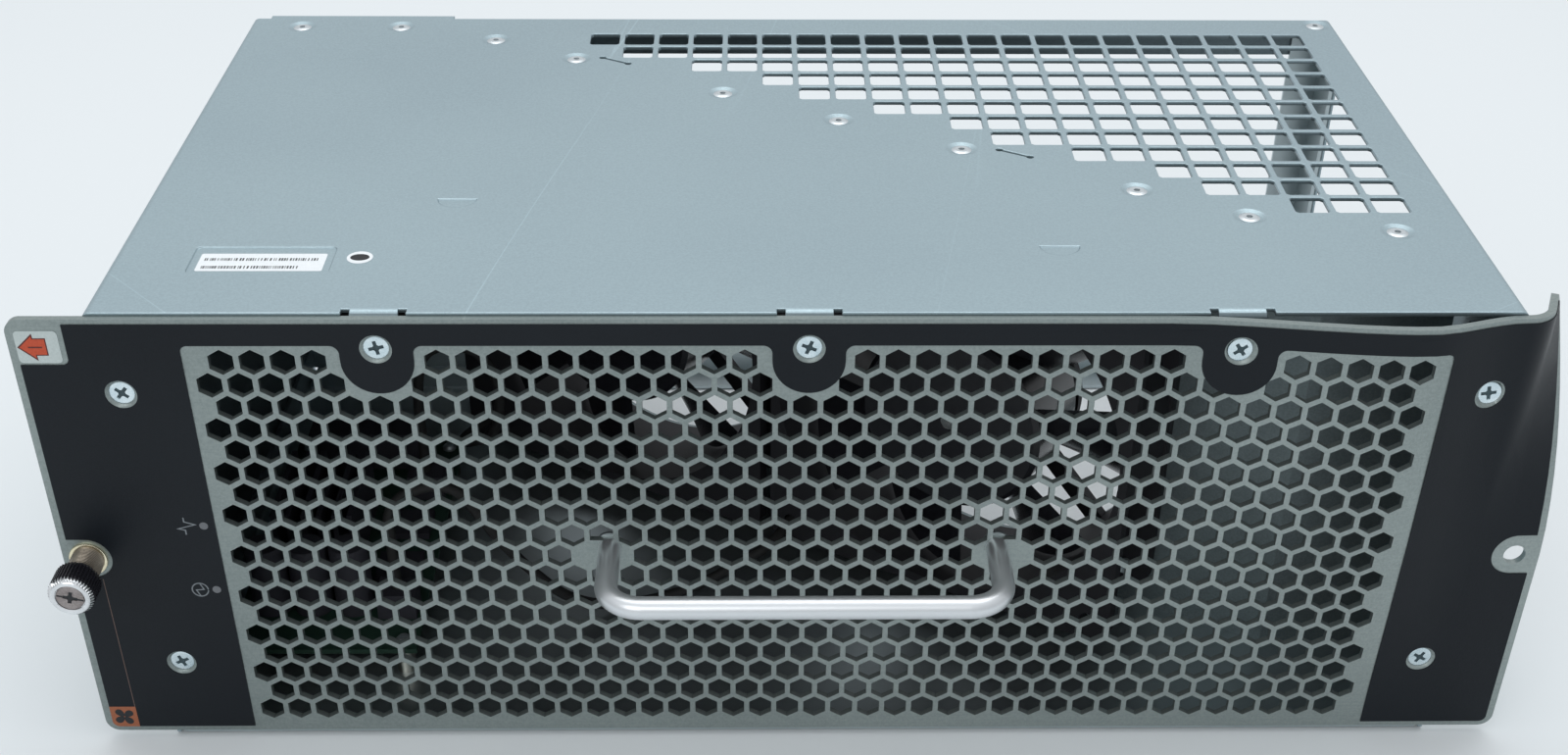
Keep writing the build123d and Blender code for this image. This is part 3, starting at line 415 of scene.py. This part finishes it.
# Dark ink for the printed marks, also used as painted shade in the captive screw's recess and slot
label_ink = moulded("label_ink", linear(34, 36, 40), linear(24, 26, 29), 0.55)
arrow_orange = moulded("arrow_orange", linear(192, 78, 46), linear(174, 66, 36), 0.45)
arrow_edge = moulded("arrow_edge", linear(96, 40, 34), linear(76, 30, 28), 0.5)
print_orange = moulded("print_orange", linear(154, 90, 60), linear(138, 80, 52), 0.5)
print_line = moulded("print_line", linear(104, 84, 76), linear(90, 74, 68), 0.5)
print_grey = moulded("print_grey", linear(122, 128, 133), linear(106, 112, 117), 0.5)

# Finishes of CAD pieces that stay as they are, found by the name of the record's slot
plated("satin_handle", linear(238, 240, 242), linear(206, 210, 214), 0.24)
plated("nickel_plate", linear(214, 206, 190), linear(176, 164, 144), 0.22)
moulded("smoked_lens", linear(88, 94, 99), linear(70, 76, 81), 0.25, 1200.0, 0.5)
plated("rivet_steel", linear(200, 212, 217), linear(150, 164, 171), 0.34)
moulded("black_plastic", linear(30, 31, 34), linear(18, 19, 22), 0.5, 1300.0)
moulded("impeller_plastic", linear(28, 29, 32), linear(16, 17, 20), 0.32, 900.0, 0.5)
plated("bearing_steel", linear(208, 208, 210), linear(160, 160, 164), 0.2)
plated("core_steel", linear(120, 122, 128), linear(80, 82, 88), 0.45)
plated("copper_winding", linear(196, 116, 66), linear(130, 66, 34), 0.35, 1800.0)
moulded("magnet", linear(62, 60, 60), linear(44, 43, 43), 0.55)
moulded("board_laminate", linear(24, 52, 40), linear(16, 38, 30), 0.35, 700.0, 0.5)
moulded("board_components", linear(56, 56, 60), linear(34, 34, 38), 0.45)
moulded("lead_sleeve", linear(32, 32, 34), linear(18, 18, 20), 0.5)

finishes = {m.name: m for m in bpy.data.materials}
for entry in frame["record"]["subparts"]:
    shown = frame["nodes"][entry["node"]]
    for material_slot in shown.material_slots:
        material_slot.link = "OBJECT"
        material_slot.material = finishes[entry["material_slot"]]
for material_slot in frame["nodes"]["fan_wall"].material_slots:
    material_slot.material = inner_wall_steel


# Shapes

def new_piece(name, mesh, material, body="tray"):
    """Adds a piece made of a mesh, riding on a CAD body."""
    piece = collection_add(bpy.data.objects.new(name, mesh))
    mesh.materials.clear()
    mesh.materials.append(material)
    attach(piece, body)
    return piece


def mesh_of(name, work, sharp=30.0):
    """Finishes a bmesh as a smooth mesh with sharp edges above an angle."""
    bmesh.ops.recalc_face_normals(work, faces=work.faces[:])
    mesh = bpy.data.meshes.new(name)
    work.to_mesh(mesh)
    work.free()
    mesh.shade_smooth()
    mesh.set_sharp_from_angle(angle=math.radians(sharp))
    return mesh


def dent_of(x, z):
    """How far the dented panel stands forward of flat."""
    size = dent_bulges[-1]
    for (z0, z1), (b0, b1) in zip(zip(dent_heights, dent_heights[1:]), zip(dent_bulges, dent_bulges[1:])):
        if z0 <= z <= z1:
            share = (z - z0) / (z1 - z0)
            size = b0 + share * (b1 - b0)
            break
    if x <= dent_start:
        return 0.0
    if x <= dent_crest:
        share = (x - dent_start) / (dent_crest - dent_start)
        return size * share * share * (3 - 2 * share)
    share = min(1.0, (x - dent_crest) / (dent_end - dent_crest))
    return size * (1 - share * share * (3 - 2 * share))


def ear_turn(z):
    """Angle in radians by which the ear is folded back at a height."""
    share = min(1.0, max(0.0, (z - ear_fold_low) / (ear_fold_top - ear_fold_low)))
    return math.radians(ear_fold_angle) * share ** 1.3


def dented(point):
    """Where a point of the flat panel comes to lie."""
    x, y, z = (c / mm for c in point)
    y -= dent_of(x, z)
    turn = ear_turn(z)
    if x > dent_end and turn > 0.001:
        depth = y - panel_back
        radius = ear_fold_radius
        run = x - dent_end
        arc = radius * turn
        along = min(run, arc)
        angle = along / radius
        centre_x, centre_y = dent_end, panel_back + radius
        reach = radius - depth
        bent_x = centre_x + reach * math.sin(angle)
        bent_y = centre_y - reach * math.cos(angle)
        straight = run - along
        x = bent_x + straight * math.cos(angle)
        y = bent_y + straight * math.sin(angle)
    return Vector((x * mm, y * mm, z * mm))


def dented_copy(node_name, name, material):
    """Copy of a flat CAD piece, cut finely where the dent bends it."""
    source = frame["nodes"][node_name]
    work = bmesh.new()
    work.from_mesh(source.data)
    bmesh.ops.remove_doubles(work, verts=work.verts[:], dist=0.002 * mm)
    cuts = [(x, (1, 0, 0)) for x in dent_cuts]
    cuts += [(dent_end + ear_cut_step * step, (1, 0, 0)) for step in range(ear_cut_count)]
    cuts += [(z, (0, 0, 1)) for z in level_cuts]
    for place, direction in cuts:
        near = [f for f in work.faces if max(v.co.x for v in f.verts) > dent_start * mm]
        parts = set(near)
        for face in near:
            parts.update(face.verts)
            parts.update(face.edges)
        bmesh.ops.bisect_plane(work, geom=list(parts), dist=0.0001 * mm,
                               plane_co=[place * mm * d for d in direction], plane_no=direction)
    for vertex in work.verts:
        if vertex.co.x > dent_start * mm:
            vertex.co = dented(vertex.co)
    piece = new_piece(name, mesh_of(name, work, sharp=24.0), material)
    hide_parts(node_name)


def softened_copy(node_name, name, material):
    """Copy of the top cover with its upper edges slightly rounded and its flat faces shaded flat."""
    work = bmesh.new()
    work.from_mesh(frame["nodes"][node_name].data)
    bmesh.ops.remove_doubles(work, verts=work.verts[:], dist=0.0002 * mm)
    level = (box_top - half_sheet) * mm
    sharp = math.radians(edge_angle)
    edges = [
        edge for edge in work.edges
        if len(edge.link_faces) == 2 and min(v.co.z for v in edge.verts) > level
        and edge.calc_face_angle(0) > sharp]
    bmesh.ops.bevel(work, geom=edges, offset=edge_round * mm, offset_type="OFFSET", segments=2, profile=0.5,
                    affect="EDGES", clamp_overlap=False)
    mesh = mesh_of(name, work, sharp=cover_crease)
    for face in mesh.polygons:
        if max(abs(c) for c in face.normal) > flat_enough:
            face.use_smooth = False
    piece = new_piece(name, mesh, material)
    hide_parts(node_name)


def outlined(work, points, height):
    """Ring of vertices in a plane, joined by edges."""
    ring = [work.verts.new((x, y, height)) for x, y in points]
    edges = [work.edges.new((a, b)) for a, b in zip(ring, ring[1:] + ring[:1])]
    return ring, edges


def circle_points(radius, count):
    """Points of a circle."""
    angles = [math.tau * k / count for k in range(count)]
    return [(radius * math.cos(a), radius * math.sin(a)) for a in angles]


def bridged(work, first, second):
    """Quads between two rings of the same count."""
    for (a, b), (c, d) in zip(zip(first, first[1:] + first[:1]), zip(second, second[1:] + second[:1])):
        work.faces.new((a, b, d, c))


def cross_points(arm, width, corner):
    """Outline of a driver recess: four arms with filled inner corners."""
    half = width / 2
    points = []
    for quarter in range(4):
        turn = Matrix.Rotation(math.radians(90 * quarter), 2)
        for x, y in ((arm, -half), (arm, half), (half + corner, half), (half, half + corner)):
            points.append(tuple(turn @ Vector((x, y))))
    return points


def recessed_face(work, rim_edges, arm, width, top, depth):
    """Fills a round face around a driver recess and sinks the recess, which narrows downwards."""
    taper = 0.62
    mouth, mouth_edges = outlined(work, cross_points(arm, width, width * 0.35), top)
    bmesh.ops.triangle_fill(work, use_beauty=True, use_dissolve=False, edges=rim_edges + mouth_edges)
    floor = outlined(work, cross_points(arm * taper, width * taper, width * 0.2), top - depth)[0]
    bridged(work, mouth, floor)
    work.faces.new(floor)


def ring_edges(ring):
    """Edges between neighbours of a ring."""
    found = []
    for a, b in zip(ring, ring[1:] + ring[:1]):
        found.append(next(e for e in a.link_edges if b in e.verts))
    return found


def turned_rings(work, outline, count, wave=None):
    """Rings of a turned shape from (radius, height, ribbed) points; returns the first and the last."""
    rings = []
    for radius, height, ribbed in outline:
        ring = []
        for k in range(count):
            angle = math.tau * k / count
            reach = radius - (wave(k) if ribbed and wave else 0.0)
            ring.append(work.verts.new((reach * math.cos(angle), reach * math.sin(angle), height)))
        rings.append(ring)
    for first, second in zip(rings, rings[1:]):
        bridged(work, first, second)
    return rings[0], rings[-1]


def scaled_mm(work):
    """Turns a shape drawn in millimetres into metres."""
    bmesh.ops.scale(work, vec=(mm, mm, mm), verts=work.verts[:])


def facing_panel(x, y, z, turn=0.0):
    """Place on the panel: local Z points out of it."""
    upright = Matrix.Translation((x * mm, y * mm, z * mm)) @ Matrix.Rotation(math.radians(90), 4, "X")
    return upright @ Matrix.Rotation(math.radians(turn), 4, "Z")


def panel_screw_work():
    """Flat-head screw with a rounded rim and a cross recess, head towards local Z."""
    work = bmesh.new()
    outline = [
        (0.9, -8.4, False), (1.55, -7.9, False), (1.7, -7.4, False), (1.7, -2.1, False),
        (3.1, -0.98, False), (3.34, -0.86, False), (3.4, -0.78, False), (3.32, -0.66, False),
        (3.15, -0.6, False), (2.9, screw_face, False)]
    first, last = turned_rings(work, outline, 40)
    work.faces.new(first)
    recessed_face(
        work, ring_edges(last), screw_recess_reach, screw_recess_width, screw_face, screw_recess_depth)
    scaled_mm(work)
    return work


def add_panel_screws():
    """The seven panel screws, each turned as it was driven."""
    whole = bmesh.new()
    for (x, z), turn in zip(screw_places, screw_turns):
        one = panel_screw_work()
        one.transform(facing_panel(x, panel_front - dent_of(x, z), z, turn))
        part = bpy.data.meshes.new("screw_part")
        one.to_mesh(part)
        one.free()
        whole.from_mesh(part)
        bpy.data.meshes.remove(part)
    name = "panel_screws_driven"
    piece = new_piece(name, mesh_of(name, whole), zinc_screw)
    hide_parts("panel_screws")


def add_screw_shades():
    """Dark crosses of painted shade a little below the faces of the panel screws, inside their recesses."""
    whole = bmesh.new()
    for (x, z), turn in zip(screw_places, screw_turns):
        spun = Matrix.Rotation(math.radians(turn), 2)
        cross = [spun @ Vector(point) for point in cross_points(1.9, 0.86, 0.3)]
        face = panel_front - dent_of(x, z)
        low = [whole.verts.new((x + point.x, face + shade_back, z + point.y)) for point in cross]
        high = [whole.verts.new((x + point.x, face + shade_front, z + point.y)) for point in cross]
        whole.faces.new(low)
        whole.faces.new(high)
        bridged(whole, low, high)
    scaled_mm(whole)
    name = "panel_screw_recess_shades"
    new_piece(name, mesh_of(name, whole), recess_shade)


def turned_piece(name, outline, count, place, material, body):
    """Round closed piece from a profile of (radius, height) points."""
    work = bmesh.new()
    first, last = turned_rings(work, [(radius, height, False) for radius, height in outline], count)
    bridged(work, last, first)
    scaled_mm(work)
    work.transform(place)
    return new_piece(name, mesh_of(name, work), material, body)


def thumb_place():
    """Place of the captive screw's axis, with local Z out of the panel."""
    return facing_panel(-thumb_x, panel_front, thumb_z)


def rib_height(k):
    """Depth of the knob's groove at a point of its ring."""
    return rib_heights[k % len(rib_heights)]


def add_thumb_ferrule():
    """Pressed-in guide of the captive screw: bright collar and a darker neck with turned lines."""
    screw_bore = 2.03
    spring_bore = 3.6
    neck = [(screw_bore, -2.0), (4.0, -2.0), (4.0, 0.02), (neck_radius, 0.5)]
    for step in range(groove_count):
        height = 0.95 + groove_pitch * step
        neck += [(neck_radius, height), (groove_radius, height + 0.12)]
        neck += [(groove_radius, height + 0.22), (neck_radius, height + 0.34)]
    neck += [(neck_radius, 9.9), (4.05, ferrule_top), (spring_bore, ferrule_top)]
    neck += [(spring_bore, ferrule_floor), (screw_bore, ferrule_floor)]
    guide = turned_piece("ferrule_neck", neck, 64, thumb_place(), ferrule_steel, "tray")
    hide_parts("thumb_ferrule")
    collar = [(4.4, 0.0), (5.3, 0.0), (5.3, 0.55), (5.2, 0.78), (4.98, 0.9), (4.4, 0.9)]
    turned_piece("ferrule_collar", collar, 64, thumb_place(), ferrule_brass, "tray")


def add_thumb_grip():
    """Ribbed black grip of the captive screw."""
    outline = [
        (4.9, 16.6, False), (4.9, knob_low, False), (5.7, knob_low, False), (6.05, knob_low + 0.3, True),
        (6.3, knob_low + 0.6, True), (6.3, knob_shoulder - 0.2, True), (6.2, knob_shoulder, True),
        (knob_core, knob_shoulder, False)]
    work = bmesh.new()
    first, last = turned_rings(work, outline, rib_count * len(rib_heights), rib_height)
    work.faces.new(first)
    work.faces.new(last)
    scaled_mm(work)
    work.transform(thumb_place())
    mesh = mesh_of("thumb_grip", work, sharp=25)
    grip = new_piece("thumb_grip", mesh, black_knob, "thumb_knob")
    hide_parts("thumb_knob")


def add_thumb_rim():
    """Polished rim at the outer end of the grip, grooved as the grip is."""
    outline = [
        (knob_core, knob_shoulder, False), (6.24, knob_shoulder, True), (6.26, knob_shoulder + 0.12, True),
        (6.22, knob_top - 1.2, True), (5.42, knob_top - 0.22, False), (5.16, knob_top, False),
        (4.15, knob_top, False), (3.97, knob_top - 0.2, False), (3.97, knob_top - 0.7, False),
        (knob_core, knob_top - 0.7, False)]
    work = bmesh.new()
    first, last = turned_rings(work, outline, rib_count * len(rib_heights), rib_height)
    bridged(work, last, first)
    scaled_mm(work)
    work.transform(thumb_place())
    new_piece("thumb_rim", mesh_of("thumb_rim", work), polished_rim, "thumb_knob")


def add_thumb_disc():
    """Worn driver disc in the rim, with a cross recess that holds a dark cross of painted shade, and a slot
    drawn only as dark strips of painted shade on its face.
    """
    recess_reach = 2.05
    outline = [
        (knob_core, knob_top - 1.7, False), (3.85, knob_top - 1.65, False),
        (3.85, disc_face - 0.15, False), (3.72, disc_face, False)]
    work = bmesh.new()
    first, last = turned_rings(work, outline, 64)
    work.faces.new(first)
    recessed_face(work, ring_edges(last), recess_reach, 1.05, disc_face, 1.1)
    scaled_mm(work)
    turned = thumb_place() @ Matrix.Rotation(math.radians(disc_turn), 4, "Z")
    work.transform(turned)
    new_piece("thumb_disc", mesh_of("thumb_disc", work), worn_disc, "thumb_knob")
    # Painted shade: a dark cross just below the disc's face, inside the recess
    inside = turned @ Matrix.Translation((0, 0, (disc_face - 0.22) * mm))
    cross = [cross_points(1.95, 0.98, 0.35)]
    add_decal("thumb_recess_shade", cross, inside, 0.06, label_ink, "thumb_knob")
    # Painted shade: the slot has no groove; two dark strips on the face stand for it
    slot_end = 3.6
    slot_half = 0.28
    slots = []
    for side in (-1, 1):
        near, far = sorted((side * recess_reach, side * slot_end))
        slots.append([(near, -slot_half), (far, -slot_half), (far, slot_half), (near, slot_half)])
    above = turned @ Matrix.Translation((0, 0, disc_face * mm))
    add_decal("thumb_slot_shade", slots, above, 0.02, label_ink, "thumb_knob")


def add_thumb_spring():
    """Copy of the captive screw's spring."""
    mesh = frame["nodes"]["thumb_spring"].data.copy()
    spring = new_piece("thumb_spring_coil", mesh, spring_steel)
    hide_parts("thumb_spring")
    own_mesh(spring)


def add_decal(name, shapes, place, thickness, material, body="tray"):
    """Thin printed or stuck-on shapes in millimetres, lying in a plane with local Z outwards."""
    work = bmesh.new()
    for points in shapes:
        low = [work.verts.new((x, y, 0)) for x, y in points]
        high = [work.verts.new((x, y, thickness)) for x, y in points]
        work.faces.new(low)
        work.faces.new(high)
        bridged(work, low, high)
    scaled_mm(work)
    work.transform(place)
    return new_piece(name, mesh_of(name, work), material, body)


def rounded(x0, x1, y0, y1, radius, steps=5):
    """Rectangle outline with rounded corners."""
    points = []
    for cx, cy, begin in ((x1 - radius, y1 - radius, 0), (x0 + radius, y1 - radius, 90),
                          (x0 + radius, y0 + radius, 180), (x1 - radius, y0 + radius, 270)):
        for k in range(steps + 1):
            angle = math.radians(begin + 90 * k / steps)
            points.append((cx + radius * math.cos(angle), cy + radius * math.sin(angle)))
    return points


def stroke(points, width):
    """Outline of a line of even width through points, mitred."""
    sides = []
    for index, (x, y) in enumerate(points):
        before = points[max(index - 1, 0)]
        after = points[min(index + 1, len(points) - 1)]
        steps = [(b[0] - a[0], b[1] - a[1]) for a, b in ((before, (x, y)), ((x, y), after)) if a != b]
        normals = [(-dy / math.hypot(dx, dy), dx / math.hypot(dx, dy)) for dx, dy in steps]
        nx = sum(n[0] for n in normals)
        ny = sum(n[1] for n in normals)
        size = math.hypot(nx, ny)
        nx, ny = nx / size, ny / size
        reach = width / 2 / max(0.35, nx * normals[0][0] + ny * normals[0][1])
        sides.append(((x + nx * reach, y + ny * reach), (x - nx * reach, y - ny * reach)))
    return [s[0] for s in sides] + [s[1] for s in reversed(sides)]


def arc_points(cx, cy, radius, begin, end, steps=16):
    """Points along an arc, angles in degrees."""
    angles = [math.radians(begin + (end - begin) * k / steps) for k in range(steps + 1)]
    return [(cx + radius * math.cos(a), cy + radius * math.sin(a)) for a in angles]


def add_airflow_sticker():
    """Plain sticker with the airflow arrow, on the bare land in the film's upper left corner."""
    on_plate = facing_panel(0, panel_front, 0)
    on_sticker = facing_panel(0, panel_front - sticker_thickness, 0)
    on_edge = facing_panel(0, panel_front - sticker_thickness - print_skin, 0)
    on_arrow = facing_panel(0, panel_front - sticker_thickness - 2 * print_skin, 0)
    sticker = rounded(-204.6, -193.4, 128.3, 137.7, 1.2)
    add_decal("airflow_sticker", [sticker], on_plate, sticker_thickness, sticker_grey)
    edge = [(-204.3, 132.95), (-199.95, 137.0), (-199.85, 135.65), (-196.65, 135.65), (-196.65, 130.55),
            (-199.7, 130.5), (-199.6, 128.95)]
    add_decal("airflow_arrow_edge", [edge], on_sticker, print_skin, arrow_edge)
    arrow = [(-203.75, 132.95), (-200.25, 136.2), (-200.15, 135.35), (-196.95, 135.35), (-196.95, 130.85),
             (-199.95, 130.8), (-199.9, 129.75)]
    add_decal("airflow_arrow", [arrow], on_edge, print_skin, arrow_orange)
    bar = [[(-201.5, 132.8), (-197.9, 132.8), (-197.9, 133.2), (-201.5, 133.2)]]
    add_decal("airflow_arrow_bar", bar, on_arrow, print_skin, arrow_edge)


def petal_points(centre_x, centre_z, turn):
    """Outline of one petal of the fan symbol, pointing away from the centre at a turn."""
    reach = 1.72
    half_length = 1.55
    half_width = 1.12
    swell = 0.25
    count = 20
    cx = centre_x + reach * math.cos(turn)
    cz = centre_z + reach * math.sin(turn)
    points = []
    for k in range(count):
        angle = math.tau * k / count
        along = half_length * math.cos(angle)
        across = half_width * math.sin(angle) * (1 + swell * math.cos(angle))
        points.append((cx + along * math.cos(turn) - across * math.sin(turn),
                       cz + along * math.sin(turn) + across * math.cos(turn)))
    return points


def add_corner_marks():
    """Orange corner with the fan symbol, and the thin line above it."""
    corner_right = -196.9
    corner_top = 11.7
    line_top = 58.6
    line_left = corner_right - 0.2
    on_film = facing_panel(0, film_front, 0)
    on_corner = facing_panel(0, film_front - print_skin, 0)
    corner = [(corner_right, film_low), (corner_right, corner_top), (film_left, corner_top)]
    corner += arc_points(film_left + film_corner, film_low + film_corner, film_corner, 180, 270, 8)
    add_decal("orange_corner", [corner], on_film, print_skin, print_orange)
    line = [(line_left, corner_top), (corner_right, corner_top),
            (corner_right, line_top), (line_left, line_top)]
    add_decal("orange_line", [line], on_film, print_skin, print_line)
    centre_x = (film_left + corner_right) / 2
    centre_z = (film_low + corner_top) / 2
    turns = [math.radians(90 * quarter + 38) for quarter in range(4)]
    petals = [petal_points(centre_x, centre_z, turn) for turn in turns]
    add_decal("fan_symbol", petals, on_corner, print_skin, label_ink)


def add_indicator_symbols():
    """Plain pulse and ringed bolt beside the two indicator windows."""
    on_film = facing_panel(0, film_front, 0)
    pulse_x, pulse_z = -171.1, 76.7
    pulse = [(0.0, 2.8), (0.0, 1.4), (2.9, 0.45), (-1.9, -0.9), (0.0, -1.4), (0.0, -2.9)]
    pulse = [(pulse_x + x, pulse_z + z) for x, z in pulse]
    ring = arc_points(-170.5, 54.8, 2.25, 0, 354, 40)
    bolt = [(-170.3, 56.9), (-169.4, 54.9), (-171.6, 54.7), (-170.7, 52.7)]
    symbols = [stroke(pulse, 0.38), stroke(ring, 0.36), stroke(bolt, 0.34)]
    add_decal("indicator_symbols", symbols, on_film, print_skin, print_grey)


def add_bar_label():
    """Label in its recess, with two rows of plain bars."""
    floor_z = box_top - label_recess
    on_recess = Matrix.Translation((0, 0, floor_z * mm))
    on_label = Matrix.Translation((0, 0, (floor_z + sticker_thickness) * mm))
    label = rounded(-163.6, -129.7, -66.3, -56.3, 0.6)
    add_decal("bar_label", [label], on_recess, sticker_thickness, label_white)
    draw = random.Random(7)
    bars = []
    for low, high, left, right in ((-60.4, -58.9, -162.2, -131.6), (-64.9, -63.4, -162.2, -136.5)):
        x = left
        while x < right:
            width = draw.choice((0.2, 0.3, 0.45))
            bars.append([(x, low), (x + width, low), (x + width, high), (x, high)])
            x += width + draw.choice((0.25, 0.35, 0.6))
    add_decal("label_bars", bars, on_label, print_skin, label_ink)


def add_round_seal():
    """Small round seal on the top, with a dark lens shape."""
    seal_x, seal_y = -120.6, -59.2
    on_top = Matrix.Translation((0, 0, box_top * mm))
    on_seal = Matrix.Translation((0, 0, (box_top + sticker_thickness) * mm))
    seal = [(seal_x + x, seal_y + y) for x, y in circle_points(3.5, 40)]
    add_decal("round_seal", [seal], on_top, sticker_thickness, label_white)
    lens = [(seal_x + x, seal_y + 0.72 * y) for x, y in circle_points(2.6, 32)]
    add_decal("round_seal_lens", [lens], on_seal, print_skin, label_ink)


def add_rear_seam():
    """Thin strip inside the rear left corner that closes the slit between the side and the bay wall."""
    strip = rounded(-box_half, seam_inner, seam_low, seam_top, seam_corner)
    place = facing_panel(0, bay_inner, 0)
    add_decal("rear_seam_strip", [strip], place, 2 * half_sheet, galvanised_box)


dented_copy("front_panel", "front_panel_dented", galvanised_panel)
dented_copy("front_film", "front_film_dented", printed_film)
softened_copy("top_cover", "top_cover_softened", galvanised_box)
add_panel_screws()
add_screw_shades()
add_thumb_ferrule()
add_thumb_grip()
add_thumb_rim()
add_thumb_disc()
add_thumb_spring()
add_airflow_sticker()
add_corner_marks()
add_indicator_symbols()
add_bar_label()
add_round_seal()
add_rear_seam()


# Studio, in metres

def add_floor():
    """Plain pale floor that keeps the object's shadow."""
    half_size = 40.0
    height = -0.0004
    work = bmesh.new()
    signs = ((-1, -1), (1, -1), (1, 1), (-1, 1))
    work.faces.new([work.verts.new((x * half_size, y * half_size, height)) for x, y in signs])
    mesh = mesh_of("floor", work)
    floor = collection_add(bpy.data.objects.new("floor", mesh))
    made, tree, shader = finish_of("pale_floor", 0.7, metallic=0.0, specular=0.2)
    shader.inputs["Base Color"].default_value = (0.72, 0.752, 0.766, 1)
    mesh.materials.append(made)


def add_world():
    """Soft white surroundings, darker towards the floor, and one even pale tone where they are seen."""
    glow_low = 0.5
    glow_high = 0.95
    seen_strength = 0.8
    world = bpy.data.worlds.new("studio")
    bpy.context.scene.world = world
    world.use_nodes = True
    tree = world.node_tree
    background = tree.nodes["Background"]
    place = node(tree, "ShaderNodeTexCoord")
    parts = node(tree, "ShaderNodeSeparateXYZ")
    tree.links.new(place.outputs["Generated"], parts.inputs[0])
    glow = spread(tree, parts.outputs["Z"], -0.1, 0.9, glow_low, glow_high)
    rays = node(tree, "ShaderNodeLightPath")
    shown = sums(tree, "MAXIMUM", rays.outputs["Is Camera Ray"], rays.outputs["Is Transmission Ray"])
    background.inputs["Color"].default_value = (0.94, 0.97, 1.0, 1)
    strength = node(tree, "ShaderNodeMix", data_type="FLOAT")
    tree.links.new(shown, strength.inputs[0])
    tree.links.new(glow, strength.inputs[2])
    strength.inputs[3].default_value = seen_strength
    tree.links.new(strength.outputs[0], background.inputs["Strength"])


def add_lamp(name, place, aim, size, power):
    """Large soft lamp aimed at a point."""
    data = bpy.data.lights.new(name, "AREA")
    data.shape = "RECTANGLE"
    data.size, data.size_y = size
    data.energy = power
    lamp = collection_add(bpy.data.objects.new(name, data))
    lamp.location = place
    lamp.rotation_mode = "QUATERNION"
    lamp.rotation_quaternion = (Vector(aim) - Vector(place)).to_track_quat("-Z", "Y")


def add_camera():
    """Camera at the photograph's angle, with the small upward shift of its crop."""
    data = bpy.data.cameras.new("camera")
    camera = collection_add(bpy.data.objects.new("camera", data))
    camera.location = [c * mm for c in camera_place]
    camera.rotation_euler = [math.radians(a) for a in camera_turn]
    data.sensor_width = 36.0
    data.lens = camera_lens
    data.shift_y = camera_shift
    data.clip_start = 0.02
    data.clip_end = 20.0
    bpy.context.scene.camera = camera


add_floor()
add_world()
add_lamp("ceiling_lamp", (0.1, 0.3, 1.5), aim=(0, 0, 0.07), size=(1.6, 1.0), power=9.0)
add_lamp("front_lamp", (-0.5, -1.3, 0.9), aim=(0, 0, 0.07), size=(1.0, 0.7), power=4.0)
add_camera()
bpy.context.scene.view_settings.view_transform = "Standard"
